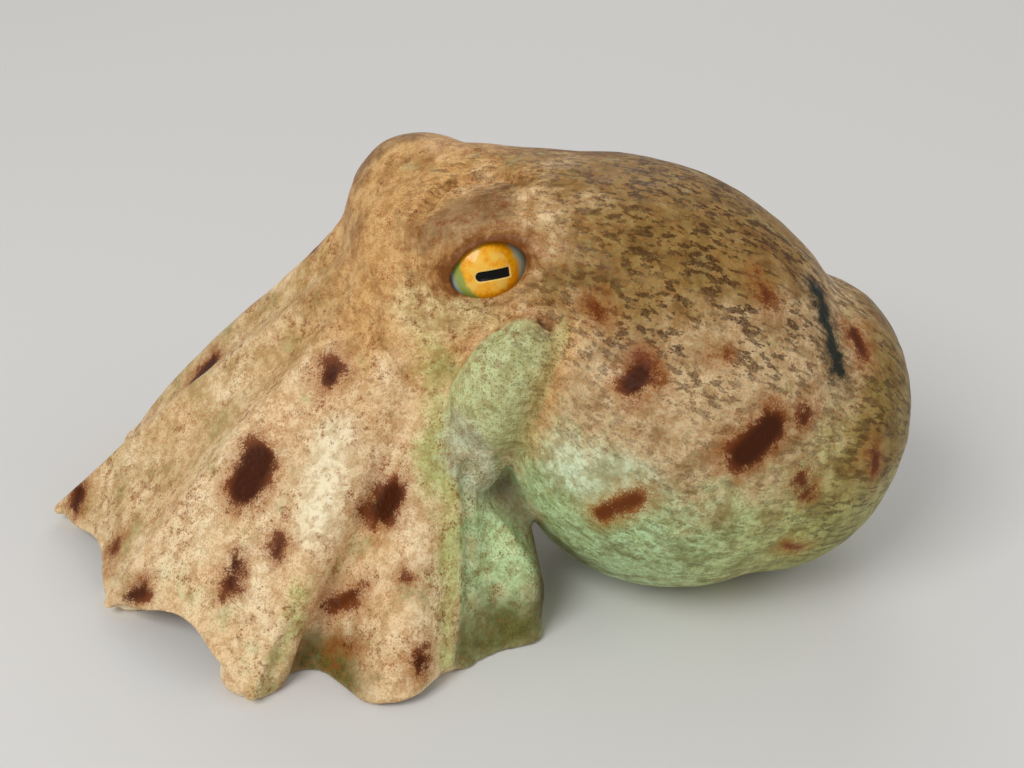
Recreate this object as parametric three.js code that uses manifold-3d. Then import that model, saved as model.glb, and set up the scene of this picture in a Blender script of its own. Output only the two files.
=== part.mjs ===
// A musky octopus at rest on the sea floor, life size, in millimetres. +Z is up, the animal's left
// side faces -Y, its mantle points to +X, and the bottom centre of the bounding box is the origin.
// The body is laid out whole, as lofts and ellipsoids in one pose. Each part is then trimmed by the
// parts that come before it, which leaves a thin gap between neighbours.
import * as THREE from "three";
import { LoftGeometry } from "three/addons/geometries/LoftGeometry.js";
import { mergeVertices } from "three/addons/utils/BufferGeometryUtils.js";
import Module from "manifold-3d";

// ---- Driving dimensions ----
const GAP = 0.3; // between neighbouring parts
const SMALLEST = 0.1; // details under this size are merged away
const LYING = Math.cos(Math.PI / 6); // height of a lying arm's centre line, in its radii
const RIDGE_DEPTH = 3; // from the outside of the web down to an arm's centre line

// Mantle: a round sac, its back where it rises to the neck, and the lobe of its tip. tilt droops the
// +X end. The crease is the plane where the tip folds against the sac, and the neck is the plane
// where the head meets it.
const MANTLE = { centre: [29.4, -13.6, 34.4], radii: [33.2, 30.2, 35] };
const MANTLE_BACK = { centre: [25.9, -7, 60.4], radii: [30.7, 24, 15.2], tilt: 19 };
const MANTLE_TIP = { centre: [48.6, -9.6, 28], radii: [22.8, 27.2, 29.2], tilt: 20 };
const CREASE = { normal: [0.94, 0, -0.34], offset: 34 };
const NECK = { normal: [0.9, 0.297, -0.315], offset: -19.2 };

// Head: a core, its nape, the crown that the arms grow from, and a swelling round each eye.
const HEAD = { centre: [-13, 0, 59], radii: [16.5, 17, 15.5] };
const NAPE = { centre: [2, -3, 60], radii: [13, 18, 17] };
const CROWN = { centre: [-13, -7, 46], radii: [14, 15, 14] };
const EYES = {
  left: { centre: [-5, -10.5, 61.5], gaze: [0.1, -0.93, 0.3] },
  right: { centre: [-16.5, 9.5, 63], gaze: [-0.62, 0.74, 0.26] },
};
const SWELLING = 12.3;
const EYEBALL = { radius: 8.5, offset: 3.2 };
const EYE_OPENING = { half_width: 7, half_height: 5.2, tilt: 20 };

// Funnel: a short tube bent back along the side of the head, with an open tip.
const FUNNEL = {
  path: [[-2, -16, 31], [-3, -24, 36], [-3, -28.5, 42.5], [0.5, -30, 50.5], [5.3, -28, 57.5]],
  radii: [6, 6.5, 6.3, 5.6, 3.4],
  bore: 1.6,
  bore_depth: 0.14,
};

// Arms. Each runs from its root on the crown down to its foot, where it meets the floor.
// A tucked arm turns back under the web there, runs inward along the floor and coils up. A trailing
// arm goes on through floor points behind the animal and ends in a flat curl. One with a knuckle
// first bends right under itself.
const ARM = { base_radius: 6.2, tip_radius: 0.8, taper: 1 };
const TUCK = { hook: 3.8, run: 20, coil: 6.2, coil_end: 3.4, turns: 1.8, clearance: 1.1 };
const CURL = { radius: 8, end_radius: 3.2, turns: 0.85 };
const ARMS = [
  { name: "left_1", root: [-22, -2, 58], foot: [-92, -3], swell: 3 },
  { name: "left_2", root: [-21, -8, 55], foot: [-75, -32], swell: 3 },
  { name: "left_3", root: [-18, -13, 51], foot: [-45, -56], swell: 2 },
  { name: "left_4", root: [-11.5, -16, 48], foot: [-10.5, -48], swell: 3 },
  { name: "right_4", root: [-5, -13, 43], foot: [3, -39], swell: 4, knuckle: 6,
    trail: [[1, -22], [-2, -8], [-1, 4], [8, 13], [26, 17], [46, 17]] },
  { name: "right_3", root: [-7, 4, 48], foot: [-12, 31], swell: 2,
    trail: [[-7, 33], [8, 40], [28, 43], [52, 43]] },
  { name: "right_2", root: [-15, 8, 53], foot: [-45, 35], swell: 2,
    trail: [[-41, 36.5], [-33, 43.5], [-14, 50], [6, 56], [28, 60]] },
  { name: "right_1", root: [-24, 6, 60], foot: [-83, 15], swell: 5,
    trail: [[-78.5, 19.5], [-75, 28], [-66, 37], [-47, 48], [-21, 60], [4, 70]] },
];

// Web: one sheet between each two arms. bow is how far it swells out in the middle, fold is how far
// it goes out beside the first arm and in beside the second, arch is how much its hem rises.
const WEB = { thickness: 2, top: 0.12, corner: 0.05 };
const SECTORS = [
  { name: "web_left_1_2", arms: ["left_1", "left_2"], bow: -1, fold: 0, arch: 0.1 },
  { name: "web_left_2_3", arms: ["left_2", "left_3"], bow: 2, fold: 0, arch: 0.13 },
  { name: "web_left_3_4", arms: ["left_3", "left_4"], bow: 0, fold: -5, arch: 0 },
  { name: "web_left_4_right_4", arms: ["left_4", "right_4"], bow: -4, fold: 0, arch: 0.12 },
  { name: "web_right_4_3", arms: ["right_4", "right_3"], bow: -6, fold: 0, arch: 0.45 },
  { name: "web_right_3_2", arms: ["right_3", "right_2"], bow: -1, fold: 0, arch: 0.15 },
  { name: "web_right_2_1", arms: ["right_2", "right_1"], bow: -2, fold: 0, arch: 0.15 },
  { name: "web_right_1_left_1", arms: ["right_1", "left_1"], bow: -1, fold: 0, arch: 0.08 },
];

// ---- Helpers ----
const wasm = await Module();
wasm.setup();
const v3 = (a) => new THREE.Vector3(...a);

// A closed geometry as a manifold-3d solid, with its faces pointing out.
function solidOf(geometry) {
  const bare = new THREE.BufferGeometry();
  bare.setAttribute("position", geometry.getAttribute("position"));
  bare.setIndex(geometry.index);
  const merged = mergeVertices(bare, 1e-4);
  const make = (triVerts) =>
    new wasm.Manifold(
      new wasm.Mesh({ numProp: 3, vertProperties: merged.attributes.position.array, triVerts }),
    );
  const indices = new Uint32Array(merged.index.array);
  const made = make(indices);
  return made.volume() > 0 ? made : make(indices.reverse());
}

// A manifold-3d solid as a three.js geometry.
function geometryOf(solid) {
  const mesh = solid.getMesh();
  const geometry = new THREE.BufferGeometry();
  geometry.setAttribute("position", new THREE.BufferAttribute(mesh.vertProperties, mesh.numProp));
  geometry.setIndex(new THREE.BufferAttribute(mesh.triVerts, 1));
  geometry.computeVertexNormals();
  return geometry;
}

function ellipsoid({ centre, radii, tilt = 0 }, grow, across = 12, rings = 7) {
  const geometry = new THREE.SphereGeometry(1, across, rings);
  geometry.rotateX(Math.PI / 2);
  geometry.scale(...radii.map((r) => r + grow));
  geometry.rotateY(THREE.MathUtils.degToRad(tilt));
  geometry.translate(...centre);
  return solidOf(geometry);
}

// A tube along a curve, between two shares of its length. Every section has a flat side underneath.
function tube(curve, radiusAt, sides, rings, from = 0, to = 1, grow = 0) {
  const sections = [];
  let previous = null;
  for (let i = 0; i <= rings; i++) {
    const share = from + ((to - from) * i) / rings;
    const centre = curve.getPointAt(share);
    const tangent = curve.getTangentAt(share);
    const across = new THREE.Vector3(0, 0, 1).cross(tangent).normalize();
    if (previous && across.dot(previous) < 0) across.negate(); // the curve has bent under itself
    previous = across;
    const up = tangent.cross(across);
    const r = radiusAt(share) + grow;
    const section = [];
    for (let j = 0; j < sides; j++) {
      const angle = ((j + 0.5) / sides) * 2 * Math.PI - Math.PI / 2;
      const point = centre.clone().addScaledVector(across, r * Math.cos(angle));
      section.push(point.addScaledVector(up, r * Math.sin(angle)));
    }
    sections.push(section);
  }
  return solidOf(new LoftGeometry(sections, { capStart: true, capEnd: true }));
}

// ---- Arms ----
const armRadius = (share) =>
  ARM.tip_radius + (ARM.base_radius - ARM.tip_radius) * Math.pow(1 - share, ARM.taper);

// The line down the outside of the web that an arm follows from its root to its foot.
function ridgeOf(arm) {
  const root = v3(arm.root);
  const hem = new THREE.Vector3(...arm.foot, 0.3);
  const outward = hem.clone().sub(root).setZ(0).normalize();
  const middle = root.clone().add(hem).multiplyScalar(0.5);
  middle.addScaledVector(outward, arm.swell).setZ(middle.z + arm.swell);
  return new THREE.QuadraticBezierCurve3(root, middle, hem);
}

// Floor points from a place and a heading, along an arc whose radius may shrink.
function arcPoints(place, heading, turn, radius, endRadius, steps) {
  const points = [];
  let [x, y, angle] = [place.x, place.y, heading];
  for (let i = 0; i < steps; i++) {
    const r = radius + ((endRadius - radius) * (i + 0.5)) / steps;
    const step = (Math.abs(turn) / steps) * r;
    x += step * Math.cos(angle + turn / steps / 2);
    y += step * Math.sin(angle + turn / steps / 2);
    angle += turn / steps;
    points.push(new THREE.Vector3(x, y, 0));
  }
  return points;
}

function armCurve(arm) {
  const ridge = ridgeOf(arm);
  const outward = new THREE.Vector3().subVectors(ridge.v2, ridge.v0).setZ(0).normalize();
  const foot = new THREE.Vector3(...arm.foot, 0);
  const heading = Math.atan2(outward.y, outward.x);
  const slope = (arm.knuckle ? [0, 0.25, 0.5] : [0, 0.25, 0.5, 0.75]).map((v) => {
    const inward = ridge.getTangent(v).cross(new THREE.Vector3(-outward.y, outward.x, 0)).normalize();
    return ridge.getPoint(v).addScaledVector(inward, v === 0 ? 0 : -RIDGE_DEPTH);
  });
  // Where the centre line, at its depth under the ridge, comes down to its lying height.
  const down = Math.atan2(ridge.v0.z - ridge.v2.z, ridge.v0.clone().sub(ridge.v2).setZ(0).length());
  const before = (RIDGE_DEPTH + armRadius(0.45) * LYING * Math.cos(down)) / Math.sin(down);
  const landing = foot.clone().addScaledVector(outward, -before);
  const floor = [];
  let coil = [];
  if (arm.trail) {
    if (arm.knuckle) {
      const hub = foot.clone().addScaledVector(outward, -4 - arm.knuckle).setZ(arm.knuckle);
      for (const angle of [50, 0, -45, -90].map(THREE.MathUtils.degToRad)) {
        const lift = new THREE.Vector3(0, 0, arm.knuckle * Math.sin(angle));
        floor.push(hub.clone().addScaledVector(outward, arm.knuckle * Math.cos(angle)).add(lift));
      }
    } else {
      floor.push(landing);
    }
    floor.push(...arm.trail.map((p) => new THREE.Vector3(...p, 0)));
    const [previous, last] = floor.slice(-2);
    const onward = Math.atan2(last.y - previous.y, last.x - previous.x);
    floor.push(...arcPoints(last, onward, CURL.turns * 2 * Math.PI, CURL.radius, CURL.end_radius, 9));
  } else {
    floor.push(landing, ...arcPoints(landing, heading, -Math.PI, TUCK.hook, TUCK.hook, 4));
    floor.push(floor[4].clone().addScaledVector(outward, -TUCK.run));
    const turn = -TUCK.turns * 2 * Math.PI;
    coil = arcPoints(floor[5], heading + Math.PI, turn, TUCK.coil, TUCK.coil_end, 18);
  }
  // The heights follow the taper, so that the arm lies on the floor, and on itself where it coils.
  const points = [...slope, ...floor, ...coil];
  const flat = new THREE.CatmullRomCurve3(points, false, "centripetal");
  const lengths = flat.getLengths(400);
  let rise = 0;
  for (let i = slope.length; i < points.length; i++) {
    const share = lengths[Math.round((400 * i) / (points.length - 1))] / lengths[400];
    const climbing = i >= slope.length + floor.length;
    if (climbing) rise += ((2 * armRadius(share) + TUCK.clearance) * TUCK.turns) / coil.length;
    points[i].z += armRadius(share) * LYING + rise;
  }
  return new THREE.CatmullRomCurve3(points, false, "centripetal");
}

const arms = new Map(ARMS.map((arm) => [arm.name, { ...arm, ridge: ridgeOf(arm), curve: armCurve(arm) }]));

// ---- Web sheets ----
function webPoint(sector, u, w) {
  const [a, b] = sector.arms.map((name) => arms.get(name));
  const hem = 1 - sector.arch * Math.sin(Math.PI * u) - WEB.corner * Math.cos(Math.PI * u) ** 8;
  const v = w * hem;
  const from = a.ridge.getPoint(v);
  const to = b.ridge.getPoint(v);
  const down = a.ridge.getTangent(v).add(b.ridge.getTangent(v)).normalize();
  const outward = new THREE.Vector3().crossVectors(down, to.clone().sub(from)).normalize();
  const bulge = sector.bow * Math.sin(Math.PI * u) + sector.fold * Math.sin(2 * Math.PI * u);
  const point = from.lerp(to, u);
  return { point: point.addScaledVector(outward, bulge * Math.sin(Math.PI * 0.5 * w)), outward };
}

function webSolid(sector, grow = 0, down = 3) {
  const across = sector.fold ? 6 : 4;
  const half = WEB.thickness / 2 + grow;
  const sections = [];
  for (let j = 0; j <= down; j++) {
    const w = WEB.top + ((1 - WEB.top) * j) / down;
    const outer = [];
    const inner = [];
    const margin = grow / webPoint(sector, 0, w).point.distanceTo(webPoint(sector, 1, w).point);
    for (let i = 0; i <= across; i++) {
      const { point, outward } = webPoint(sector, -margin + ((1 + 2 * margin) * i) / across, w);
      outer.push(point.clone().addScaledVector(outward, half));
      inner.push(point.clone().addScaledVector(outward, -half));
    }
    sections.push([...inner, ...outer.reverse()]);
  }
  return solidOf(new LoftGeometry(sections, { capStart: true, capEnd: true }));
}

// ---- Head, eyes, funnel and mantle ----
const eyeCentre = (eye) => v3(eye.centre).addScaledVector(v3(eye.gaze).normalize(), EYEBALL.offset);
const eyeball = (eye, grow) =>
  ellipsoid({ centre: eyeCentre(eye).toArray(), radii: Array(3).fill(EYEBALL.radius) }, grow);

// The elliptical opening between the lids, as a cutter along the line of sight.
function lidOpening(eye) {
  const gaze = v3(eye.gaze).normalize();
  const cutter = new THREE.CylinderGeometry(1, 0.85, 12, 20);
  cutter.scale(EYE_OPENING.half_width, 1, EYE_OPENING.half_height);
  const level = new THREE.Vector3(0, 0, 1).cross(gaze).normalize().multiplyScalar(-1);
  const upright = new THREE.Vector3().crossVectors(level, gaze).normalize();
  const turn = THREE.MathUtils.degToRad(EYE_OPENING.tilt);
  const wide = level.clone().multiplyScalar(Math.cos(turn)).addScaledVector(upright, -Math.sin(turn));
  const place = new THREE.Matrix4().makeBasis(wide, gaze, new THREE.Vector3().crossVectors(wide, gaze));
  place.setPosition(eyeCentre(eye).addScaledVector(gaze, 5 + 6));
  cutter.applyMatrix4(place);
  return solidOf(cutter);
}

function headSolid(grow) {
  let head = ellipsoid(HEAD, grow).add(ellipsoid(NAPE, grow)).add(ellipsoid(CROWN, grow));
  for (const eye of Object.values(EYES)) {
    head = head.add(ellipsoid({ centre: eye.centre, radii: Array(3).fill(SWELLING) }, grow, 14, 8));
  }
  return head;
}

const funnelCurve = new THREE.CatmullRomCurve3(FUNNEL.path.map(v3));
function funnelRadius(share) {
  const at = share * (FUNNEL.radii.length - 1);
  const low = Math.min(Math.floor(at), FUNNEL.radii.length - 2);
  return THREE.MathUtils.lerp(FUNNEL.radii[low], FUNNEL.radii[low + 1], at - low);
}

// ---- Parts, in the order in which they claim their space ----
const COLOURS = {
  skin: { color: 0xc9a383, roughness: 0.55, metalness: 0 },
  pale: { color: 0xb9bd94, roughness: 0.5, metalness: 0 },
  eye: { color: 0xf0a818, roughness: 0.12, metalness: 0 },
};
const parts = [];
const belowFloor = solidOf(new THREE.BoxGeometry(600, 600, 40).translate(0, 0, -20));

// Keeps the largest body of a solid, once the earlier parts and the floor are taken from it.
function claim(name, solid, cutter, colour, taken = parts) {
  let left = solid.subtract(belowFloor);
  for (const part of taken) left = left.subtract(part.cutter);
  const bodies = left.simplify(SMALLEST).decompose().sort((a, b) => b.volume() - a.volume());
  parts.push({ name, solid: bodies[0], cutter, colour });
}

for (const [side, eye] of Object.entries(EYES)) {
  claim("eye_" + side, eyeball(eye, 0), eyeball(eye, GAP).add(lidOpening(eye)), "eye", []);
}
const behind = (plane) => [plane.normal.map((n) => -n), -plane.offset];
claim("head", headSolid(0).trimByPlane(...behind(NECK)), headSolid(GAP), "skin");

const bore = tube(funnelCurve, () => FUNNEL.bore, 8, 2, 1 - FUNNEL.bore_depth, 1);
const funnelCut = tube(funnelCurve, funnelRadius, 10, 8, 0, 1, GAP);
claim("funnel", tube(funnelCurve, funnelRadius, 10, 8).subtract(bore), funnelCut, "pale");

const LENGTHS = [
  { part: "base", from: 0, to: 0.34, sides: 8, rings: 6 },
  { part: "middle", from: 0.34, to: 0.64, sides: 6, rings: 10 },
  { part: "tip", from: 0.64, to: 1, sides: 6, rings: 14 },
];
for (const arm of arms.values()) {
  const gap = GAP / arm.curve.getLength();
  const others = [...parts];
  for (const { part, from, to, sides, rings } of LENGTHS) {
    const start = from ? from + gap : 0;
    const solid = tube(arm.curve, armRadius, sides, rings, start, to);
    const cutter = tube(arm.curve, armRadius, sides, rings, from, Math.min(to + gap, 1), GAP);
    claim("arm_" + arm.name + "_" + part, solid, cutter, "skin", others);
  }
}

const sac = [MANTLE, MANTLE_BACK, MANTLE_TIP]
  .map((lobe) => ellipsoid(lobe, 0, 20, 12))
  .reduce((whole, lobe) => whole.add(lobe))
  .trimByPlane(NECK.normal, NECK.offset + GAP);
const hull = [MANTLE, MANTLE_BACK].map((lobe) => ellipsoid(lobe, GAP, 20, 12));
const front = sac.trimByPlane(...behind(CREASE));
claim("mantle", front, hull[0].add(hull[1]), "skin", parts.filter((part) => part.name !== "head"));
claim("mantle_tip", sac.trimByPlane(CREASE.normal, CREASE.offset + GAP), sac, "skin", []);
for (const sector of SECTORS) claim(sector.name, webSolid(sector), webSolid(sector, GAP), "skin");

// ---- The exported group, moved so that the origin is at the bottom centre ----
const octopus = new THREE.Group();
for (const part of parts) {
  const mesh = new THREE.Mesh(geometryOf(part.solid), new THREE.MeshStandardMaterial(COLOURS[part.colour]));
  mesh.name = part.name;
  octopus.add(mesh);
}
const box = new THREE.Box3().setFromObject(octopus);
const centre = box.getCenter(new THREE.Vector3());
octopus.position.set(-centre.x, -centre.y, -box.min.z);

export default octopus;
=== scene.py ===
# %% [markdown]
# # A musky octopus at rest
# A small octopus has settled on the sea floor: a round mantle, a raised head with slit pupils, and
# eight webbed arms spread like a tent. This lesson gives it a skin, eyes and suckers. The animal's
# solids come in as a fixed frame, so every piece below is placed where those solids already are.

import math

import bmesh
import bpy
import numpy as np
import openvdb as vdb
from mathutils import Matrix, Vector
from mathutils.kdtree import KDTree


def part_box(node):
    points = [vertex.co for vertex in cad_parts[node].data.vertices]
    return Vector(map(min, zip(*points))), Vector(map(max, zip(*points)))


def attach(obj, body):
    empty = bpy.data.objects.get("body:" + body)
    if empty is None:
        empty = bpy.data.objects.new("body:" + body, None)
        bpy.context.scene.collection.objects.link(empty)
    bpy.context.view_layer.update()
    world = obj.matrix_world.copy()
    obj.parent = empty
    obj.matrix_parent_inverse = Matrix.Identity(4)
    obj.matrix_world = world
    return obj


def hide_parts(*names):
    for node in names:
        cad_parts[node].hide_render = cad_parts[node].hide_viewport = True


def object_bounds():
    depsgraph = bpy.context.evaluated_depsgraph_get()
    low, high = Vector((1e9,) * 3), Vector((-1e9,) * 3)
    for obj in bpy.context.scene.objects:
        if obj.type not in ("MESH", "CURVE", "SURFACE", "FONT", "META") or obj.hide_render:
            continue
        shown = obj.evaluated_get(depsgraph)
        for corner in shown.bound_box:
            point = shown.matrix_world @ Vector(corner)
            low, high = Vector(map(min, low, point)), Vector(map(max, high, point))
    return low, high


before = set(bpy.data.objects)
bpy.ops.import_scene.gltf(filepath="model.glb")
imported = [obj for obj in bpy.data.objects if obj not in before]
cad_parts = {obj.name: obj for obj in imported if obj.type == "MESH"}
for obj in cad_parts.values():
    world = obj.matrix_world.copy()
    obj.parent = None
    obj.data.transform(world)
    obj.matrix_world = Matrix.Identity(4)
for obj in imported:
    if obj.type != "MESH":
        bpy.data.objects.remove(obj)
cad_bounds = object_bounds()
print("solids:", len(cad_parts), "box:", [[round(x, 4) for x in corner] for corner in cad_bounds])

# %% [markdown]
# ## The body's own measurements
# The solids are ellipsoids, tapering tubes and thin sheets. The same measurements, in millimetres,
# give a much finer surface here. They could be read back from the solids, but those are faceted, so
# the smooth forms behind them are the better start. Only the place of the whole body is read from
# the frame: one eyeball is found there, and everything else is laid out from it. The mantle's three
# lobes were set by hand from the results of a separate program that fitted ellipsoids.

# %% Measurements of the lobes
MANTLE = dict(centre=(29.4, -13.6, 34.4), radii=(33.2, 30.2, 35.0))
MANTLE_BACK = dict(centre=(25.9, -7.0, 60.4), radii=(30.7, 24.0, 15.2), tilt=19)
MANTLE_TIP = dict(centre=(48.6, -9.6, 28.0), radii=(22.8, 27.2, 29.2), tilt=20)
HEAD = dict(centre=(-13.0, 0.0, 59.0), radii=(16.5, 17.0, 15.5))
NAPE = dict(centre=(2.0, -3.0, 60.0), radii=(13.0, 18.0, 17.0))
CROWN = dict(centre=(-13.0, -7.0, 46.0), radii=(14.0, 15.0, 14.0))
SADDLE = dict(centre=(-7, 2, 67.8), radii=(12, 10, 9.6))
FAR_BROW = dict(centre=(-17, 7.5, 64.6), radii=(11.5, 10.5, 11.8))
SWELLING = 12.3  # radius of the bulge that carries an eye
EYEBALL = 8.5
EYE_FORWARD = 3.2  # from the bulge's centre to the eyeball's
EYE_OPENING = (6.2, 3.95)  # half its length and half its height
EYE_TILT = math.radians(20)
EYES = {
    "left": ((-5.0, -10.5, 61.5), (0.1, -0.93, 0.3)),
    "right": ((-16.5, 9.5, 63.0), (-0.62, 0.74, 0.26)),
}
print("the eyeballs are", 2 * EYEBALL, "mm across")

# %% Find the body's place in the frame
MM = 0.001


def unit(v):
    v = np.asarray(v, float)
    return v / np.linalg.norm(v)


def eye_centre(side):
    """An eyeball's centre, from its bulge and its line of sight."""
    bulge, gaze = EYES[side]
    return np.array(bulge) + EYE_FORWARD * unit(gaze)


low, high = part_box("eye_left")
PLACE = (np.array(low) + np.array(high)) / 2 - eye_centre("left") * MM
PLACE[2] = 0  # the body rests on the floor


def in_frame(points):
    """Body points in millimetres, as places in the frame in metres."""
    return np.asarray(points, float) * MM + PLACE


low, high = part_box("eye_right")
miss = (np.array(low) + np.array(high)) / 2 - in_frame(eye_centre("right"))
print("the right eye is", round(float(np.linalg.norm(miss)) / MM, 3), "mm from where it should be")

# %% [markdown]
# ## The camera
# The animal is seen from its left side, from a little above. A camera is an object with a place and a
# direction, so it is set back from a point inside the body along one line of sight. The lens is given
# by its angle of view, because that is what fixes the framing.

# %% Camera
VIEW_FROM = math.radians(32)  # above the level
VIEW_ANGLE = math.radians(38)
VIEW_DISTANCE = 282
look_at = in_frame((0, 0, 30))
sight = np.array([0, math.cos(VIEW_FROM), -math.sin(VIEW_FROM)])
camera_data = bpy.data.cameras.new("camera")
camera_data.angle = VIEW_ANGLE
camera_data.clip_start = 0.01
camera = bpy.data.objects.new("camera", camera_data)
camera.location = look_at - sight * VIEW_DISTANCE * MM
camera.rotation_euler = (math.pi / 2 - VIEW_FROM, 0, 0)
bpy.context.scene.collection.objects.link(camera)
bpy.context.scene.camera = camera
print("camera height", round(camera.location.z, 4), "m")

# %% [markdown]
# ## Floor and light
# A museum model is shown plainly: a pale floor, one broad soft lamp from the upper left, a weaker one
# from the right, and an even grey world that fills the shadows. Broad lamps give wide, soft
# highlights, which is what makes skin look moist and not plastic.

# %% Floor and world
FLOOR_SIZE = 6.0


def new_finish(name):
    """A material, its tree of nodes and its surface shader."""
    made = bpy.data.materials.new(name)
    made.use_nodes = True
    return made, made.node_tree, made.node_tree.nodes["Principled BSDF"]


bpy.ops.mesh.primitive_plane_add(size=FLOOR_SIZE, location=(0, 0, 0))
floor = bpy.context.object
floor.name = "floor"
floor_finish, _, floor_shader = new_finish("floor_finish")
floor_shader.inputs["Base Color"].default_value = (0.72, 0.71, 0.69, 1)
floor_shader.inputs["Roughness"].default_value = 0.9
floor.data.materials.append(floor_finish)

world = bpy.data.worlds.new("studio")
world.use_nodes = True
world.node_tree.nodes["Background"].inputs["Color"].default_value = (1, 1, 1, 1)
world.node_tree.nodes["Background"].inputs["Strength"].default_value = 0.4
bpy.context.scene.world = world
print("floor", FLOOR_SIZE, "m wide")

# %% Lamps
LAMP_WIDTH = 0.5
LAMPS = {  # place in metres and power in watts
    "key_lamp": ((-0.45, -0.55, 0.75), 5.2),
    "side_lamp": ((0.7, -0.2, 0.5), 1.0),
    "back_lamp": ((0.1, 0.8, 0.6), 1.5),
}
for name, (lamp_place, power) in LAMPS.items():
    lamp_data = bpy.data.lights.new(name, "AREA")
    lamp_data.size = LAMP_WIDTH
    lamp_data.energy = power
    lamp = bpy.data.objects.new(name, lamp_data)
    lamp.location = lamp_place
    lamp.rotation_euler = (-Vector(lamp_place)).to_track_quat("-Z", "Y").to_euler()
    bpy.context.scene.collection.objects.link(lamp)
bpy.context.scene.view_settings.view_transform = "Standard"
print("lamps:", ", ".join(LAMPS))

# %% [markdown]
# ## A block of space to model in
# Flesh has no seams: lobes, arms and webs run into each other. Joining meshes with booleans leaves
# hard creases, and sculpting by hand can't be repeated. So the whole body is made as a distance
# field instead: a block of numbers that say how far each place is from the surface, negative inside.
# Two fields join softly by a smooth minimum, and one skin is drawn at zero at the end.

# %% Grid of places
STEP = 0.6  # millimetres between places
MARGIN = 3.0
FAR = 8.0
body_low = (np.array(cad_bounds[0]) - PLACE) / MM - MARGIN
body_high = (np.array(cad_bounds[1]) - PLACE) / MM + MARGIN
axes = [np.arange(a, b, STEP, dtype=np.float32) for a, b in zip(body_low, body_high)]
X, Y, Z = np.meshgrid(*axes, indexing="ij", sparse=True)
GRID = tuple(len(axis) for axis in axes)
print("grid", GRID, "=", round(np.prod(GRID) / 1e6, 1), "million places")


# %% Fields of simple forms
def lobe(centre, radii, tilt=0):
    """The field of an ellipsoid whose +X end droops by tilt degrees."""
    c, s = math.cos(math.radians(tilt)), math.sin(math.radians(tilt))
    x, y, z = X - centre[0], Y - centre[1], Z - centre[2]
    a, b, d = radii
    u, v, w = (c * x - s * z) / a, y / b, (s * x + c * z) / d
    reach = np.sqrt(u * u + v * v + w * w)
    slope = np.sqrt((u / a) ** 2 + (v / b) ** 2 + (w / d) ** 2) + 1e-6
    return np.clip(reach * (reach - 1) / slope, -FAR, FAR)


def sweep(points, radii, reach):
    """The field of a ball moved through points, worked out only within reach of it."""
    field = np.full(GRID, FAR, np.float32)
    for point, radius in zip(points, np.broadcast_to(radii, len(points))):
        near = [
            slice(*np.searchsorted(axis, (p - radius - reach, p + radius + reach)))
            for axis, p in zip(axes, point)
        ]
        dx, dy, dz = (axis[part] - p for axis, part, p in zip(axes, near, point))
        ball = np.sqrt(dx[:, None, None] ** 2 + dy[None, :, None] ** 2 + dz**2) - radius
        part = field[tuple(near)]
        np.minimum(part, ball, out=part)
    return field


def join(a, b, softness):
    """Both a and b, with a fillet where they meet."""
    mix = np.clip(softness - np.abs(a - b), 0, None) / softness
    return np.minimum(a, b) - mix * mix * softness / 4


def cut(a, b, softness):
    """What is left of a outside b, with a rounded edge."""
    return -join(-a, b, softness)


print("two surfaces 1 mm away, softly joined over 2 mm, are", join(1.0, 1.0, 2.0), "mm away")

# %% [markdown]
# ## The arms' lines
# Each arm leaves the crown of the head, runs down the tent as a ridge to its foot, and then lies on
# the floor. The arms on the near side turn back under the tent and coil. Those on the far side trail
# along behind the body and end in a curl. Points by hand would never meet the solids, so the lines
# are drawn by the same rules: a ridge curve, a few floor points, arcs for curls, and one smooth
# curve through them all.

# %% Measurements of the arms
ARM_ROOT_RADIUS = 6.2
ARM_TIP_RADIUS = 0.8
LYING = math.cos(math.pi / 6)  # height of a lying arm's centre line, in its radii
RIDGE_DEPTH = 3  # from the outside of the web down to an arm's centre line
TUCK = dict(hook=3.8, run=20, coil=6.2, coil_end=3.4, turns=1.8, clearance=1.1)
CURL = dict(radius=8, end_radius=3.2, turns=0.85)
ARMS = {
    "left_1": dict(root=(-22, -2, 58), foot=(-92, -3), swell=3),
    "left_2": dict(root=(-21, -8, 55), foot=(-75, -32), swell=3),
    "left_3": dict(root=(-18, -13, 51), foot=(-45, -56), swell=2),
    "left_4": dict(root=(-11.5, -16, 48), foot=(-10.5, -48), swell=3),
    "right_4": dict(root=(-5, -13, 43), foot=(3, -39), swell=4, knuckle=6,
                    trail=[(1, -22), (-2, -8), (-1, 4), (8, 13), (26, 17), (46, 17)]),
    "right_3": dict(root=(-7, 4, 48), foot=(-12, 31), swell=2,
                    trail=[(-7, 33), (8, 40), (28, 43), (52, 43)]),
    "right_2": dict(root=(-15, 8, 53), foot=(-45, 35), swell=2,
                    trail=[(-41, 36.5), (-33, 43.5), (-14, 50), (6, 56), (28, 60)]),
    "right_1": dict(root=(-24, 6, 60), foot=(-83, 15), swell=5,
                    trail=[(-78.5, 19.5), (-75, 28), (-66, 37), (-47, 48), (-21, 60), (4, 70)]),
}
print("arms:", len(ARMS), "trailing:", sum("trail" in arm for arm in ARMS.values()))

# %% Curves
def fade(value, start, end):
    """0 before start, 1 after end, and smooth between them."""
    t = np.clip((value - start) / (end - start), 0, 1)
    return t * t * (3 - 2 * t)


def arm_radius(share):
    """An arm's radius at a share of its length."""
    return ARM_TIP_RADIUS + (ARM_ROOT_RADIUS - ARM_TIP_RADIUS) * (1 - share)


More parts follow.
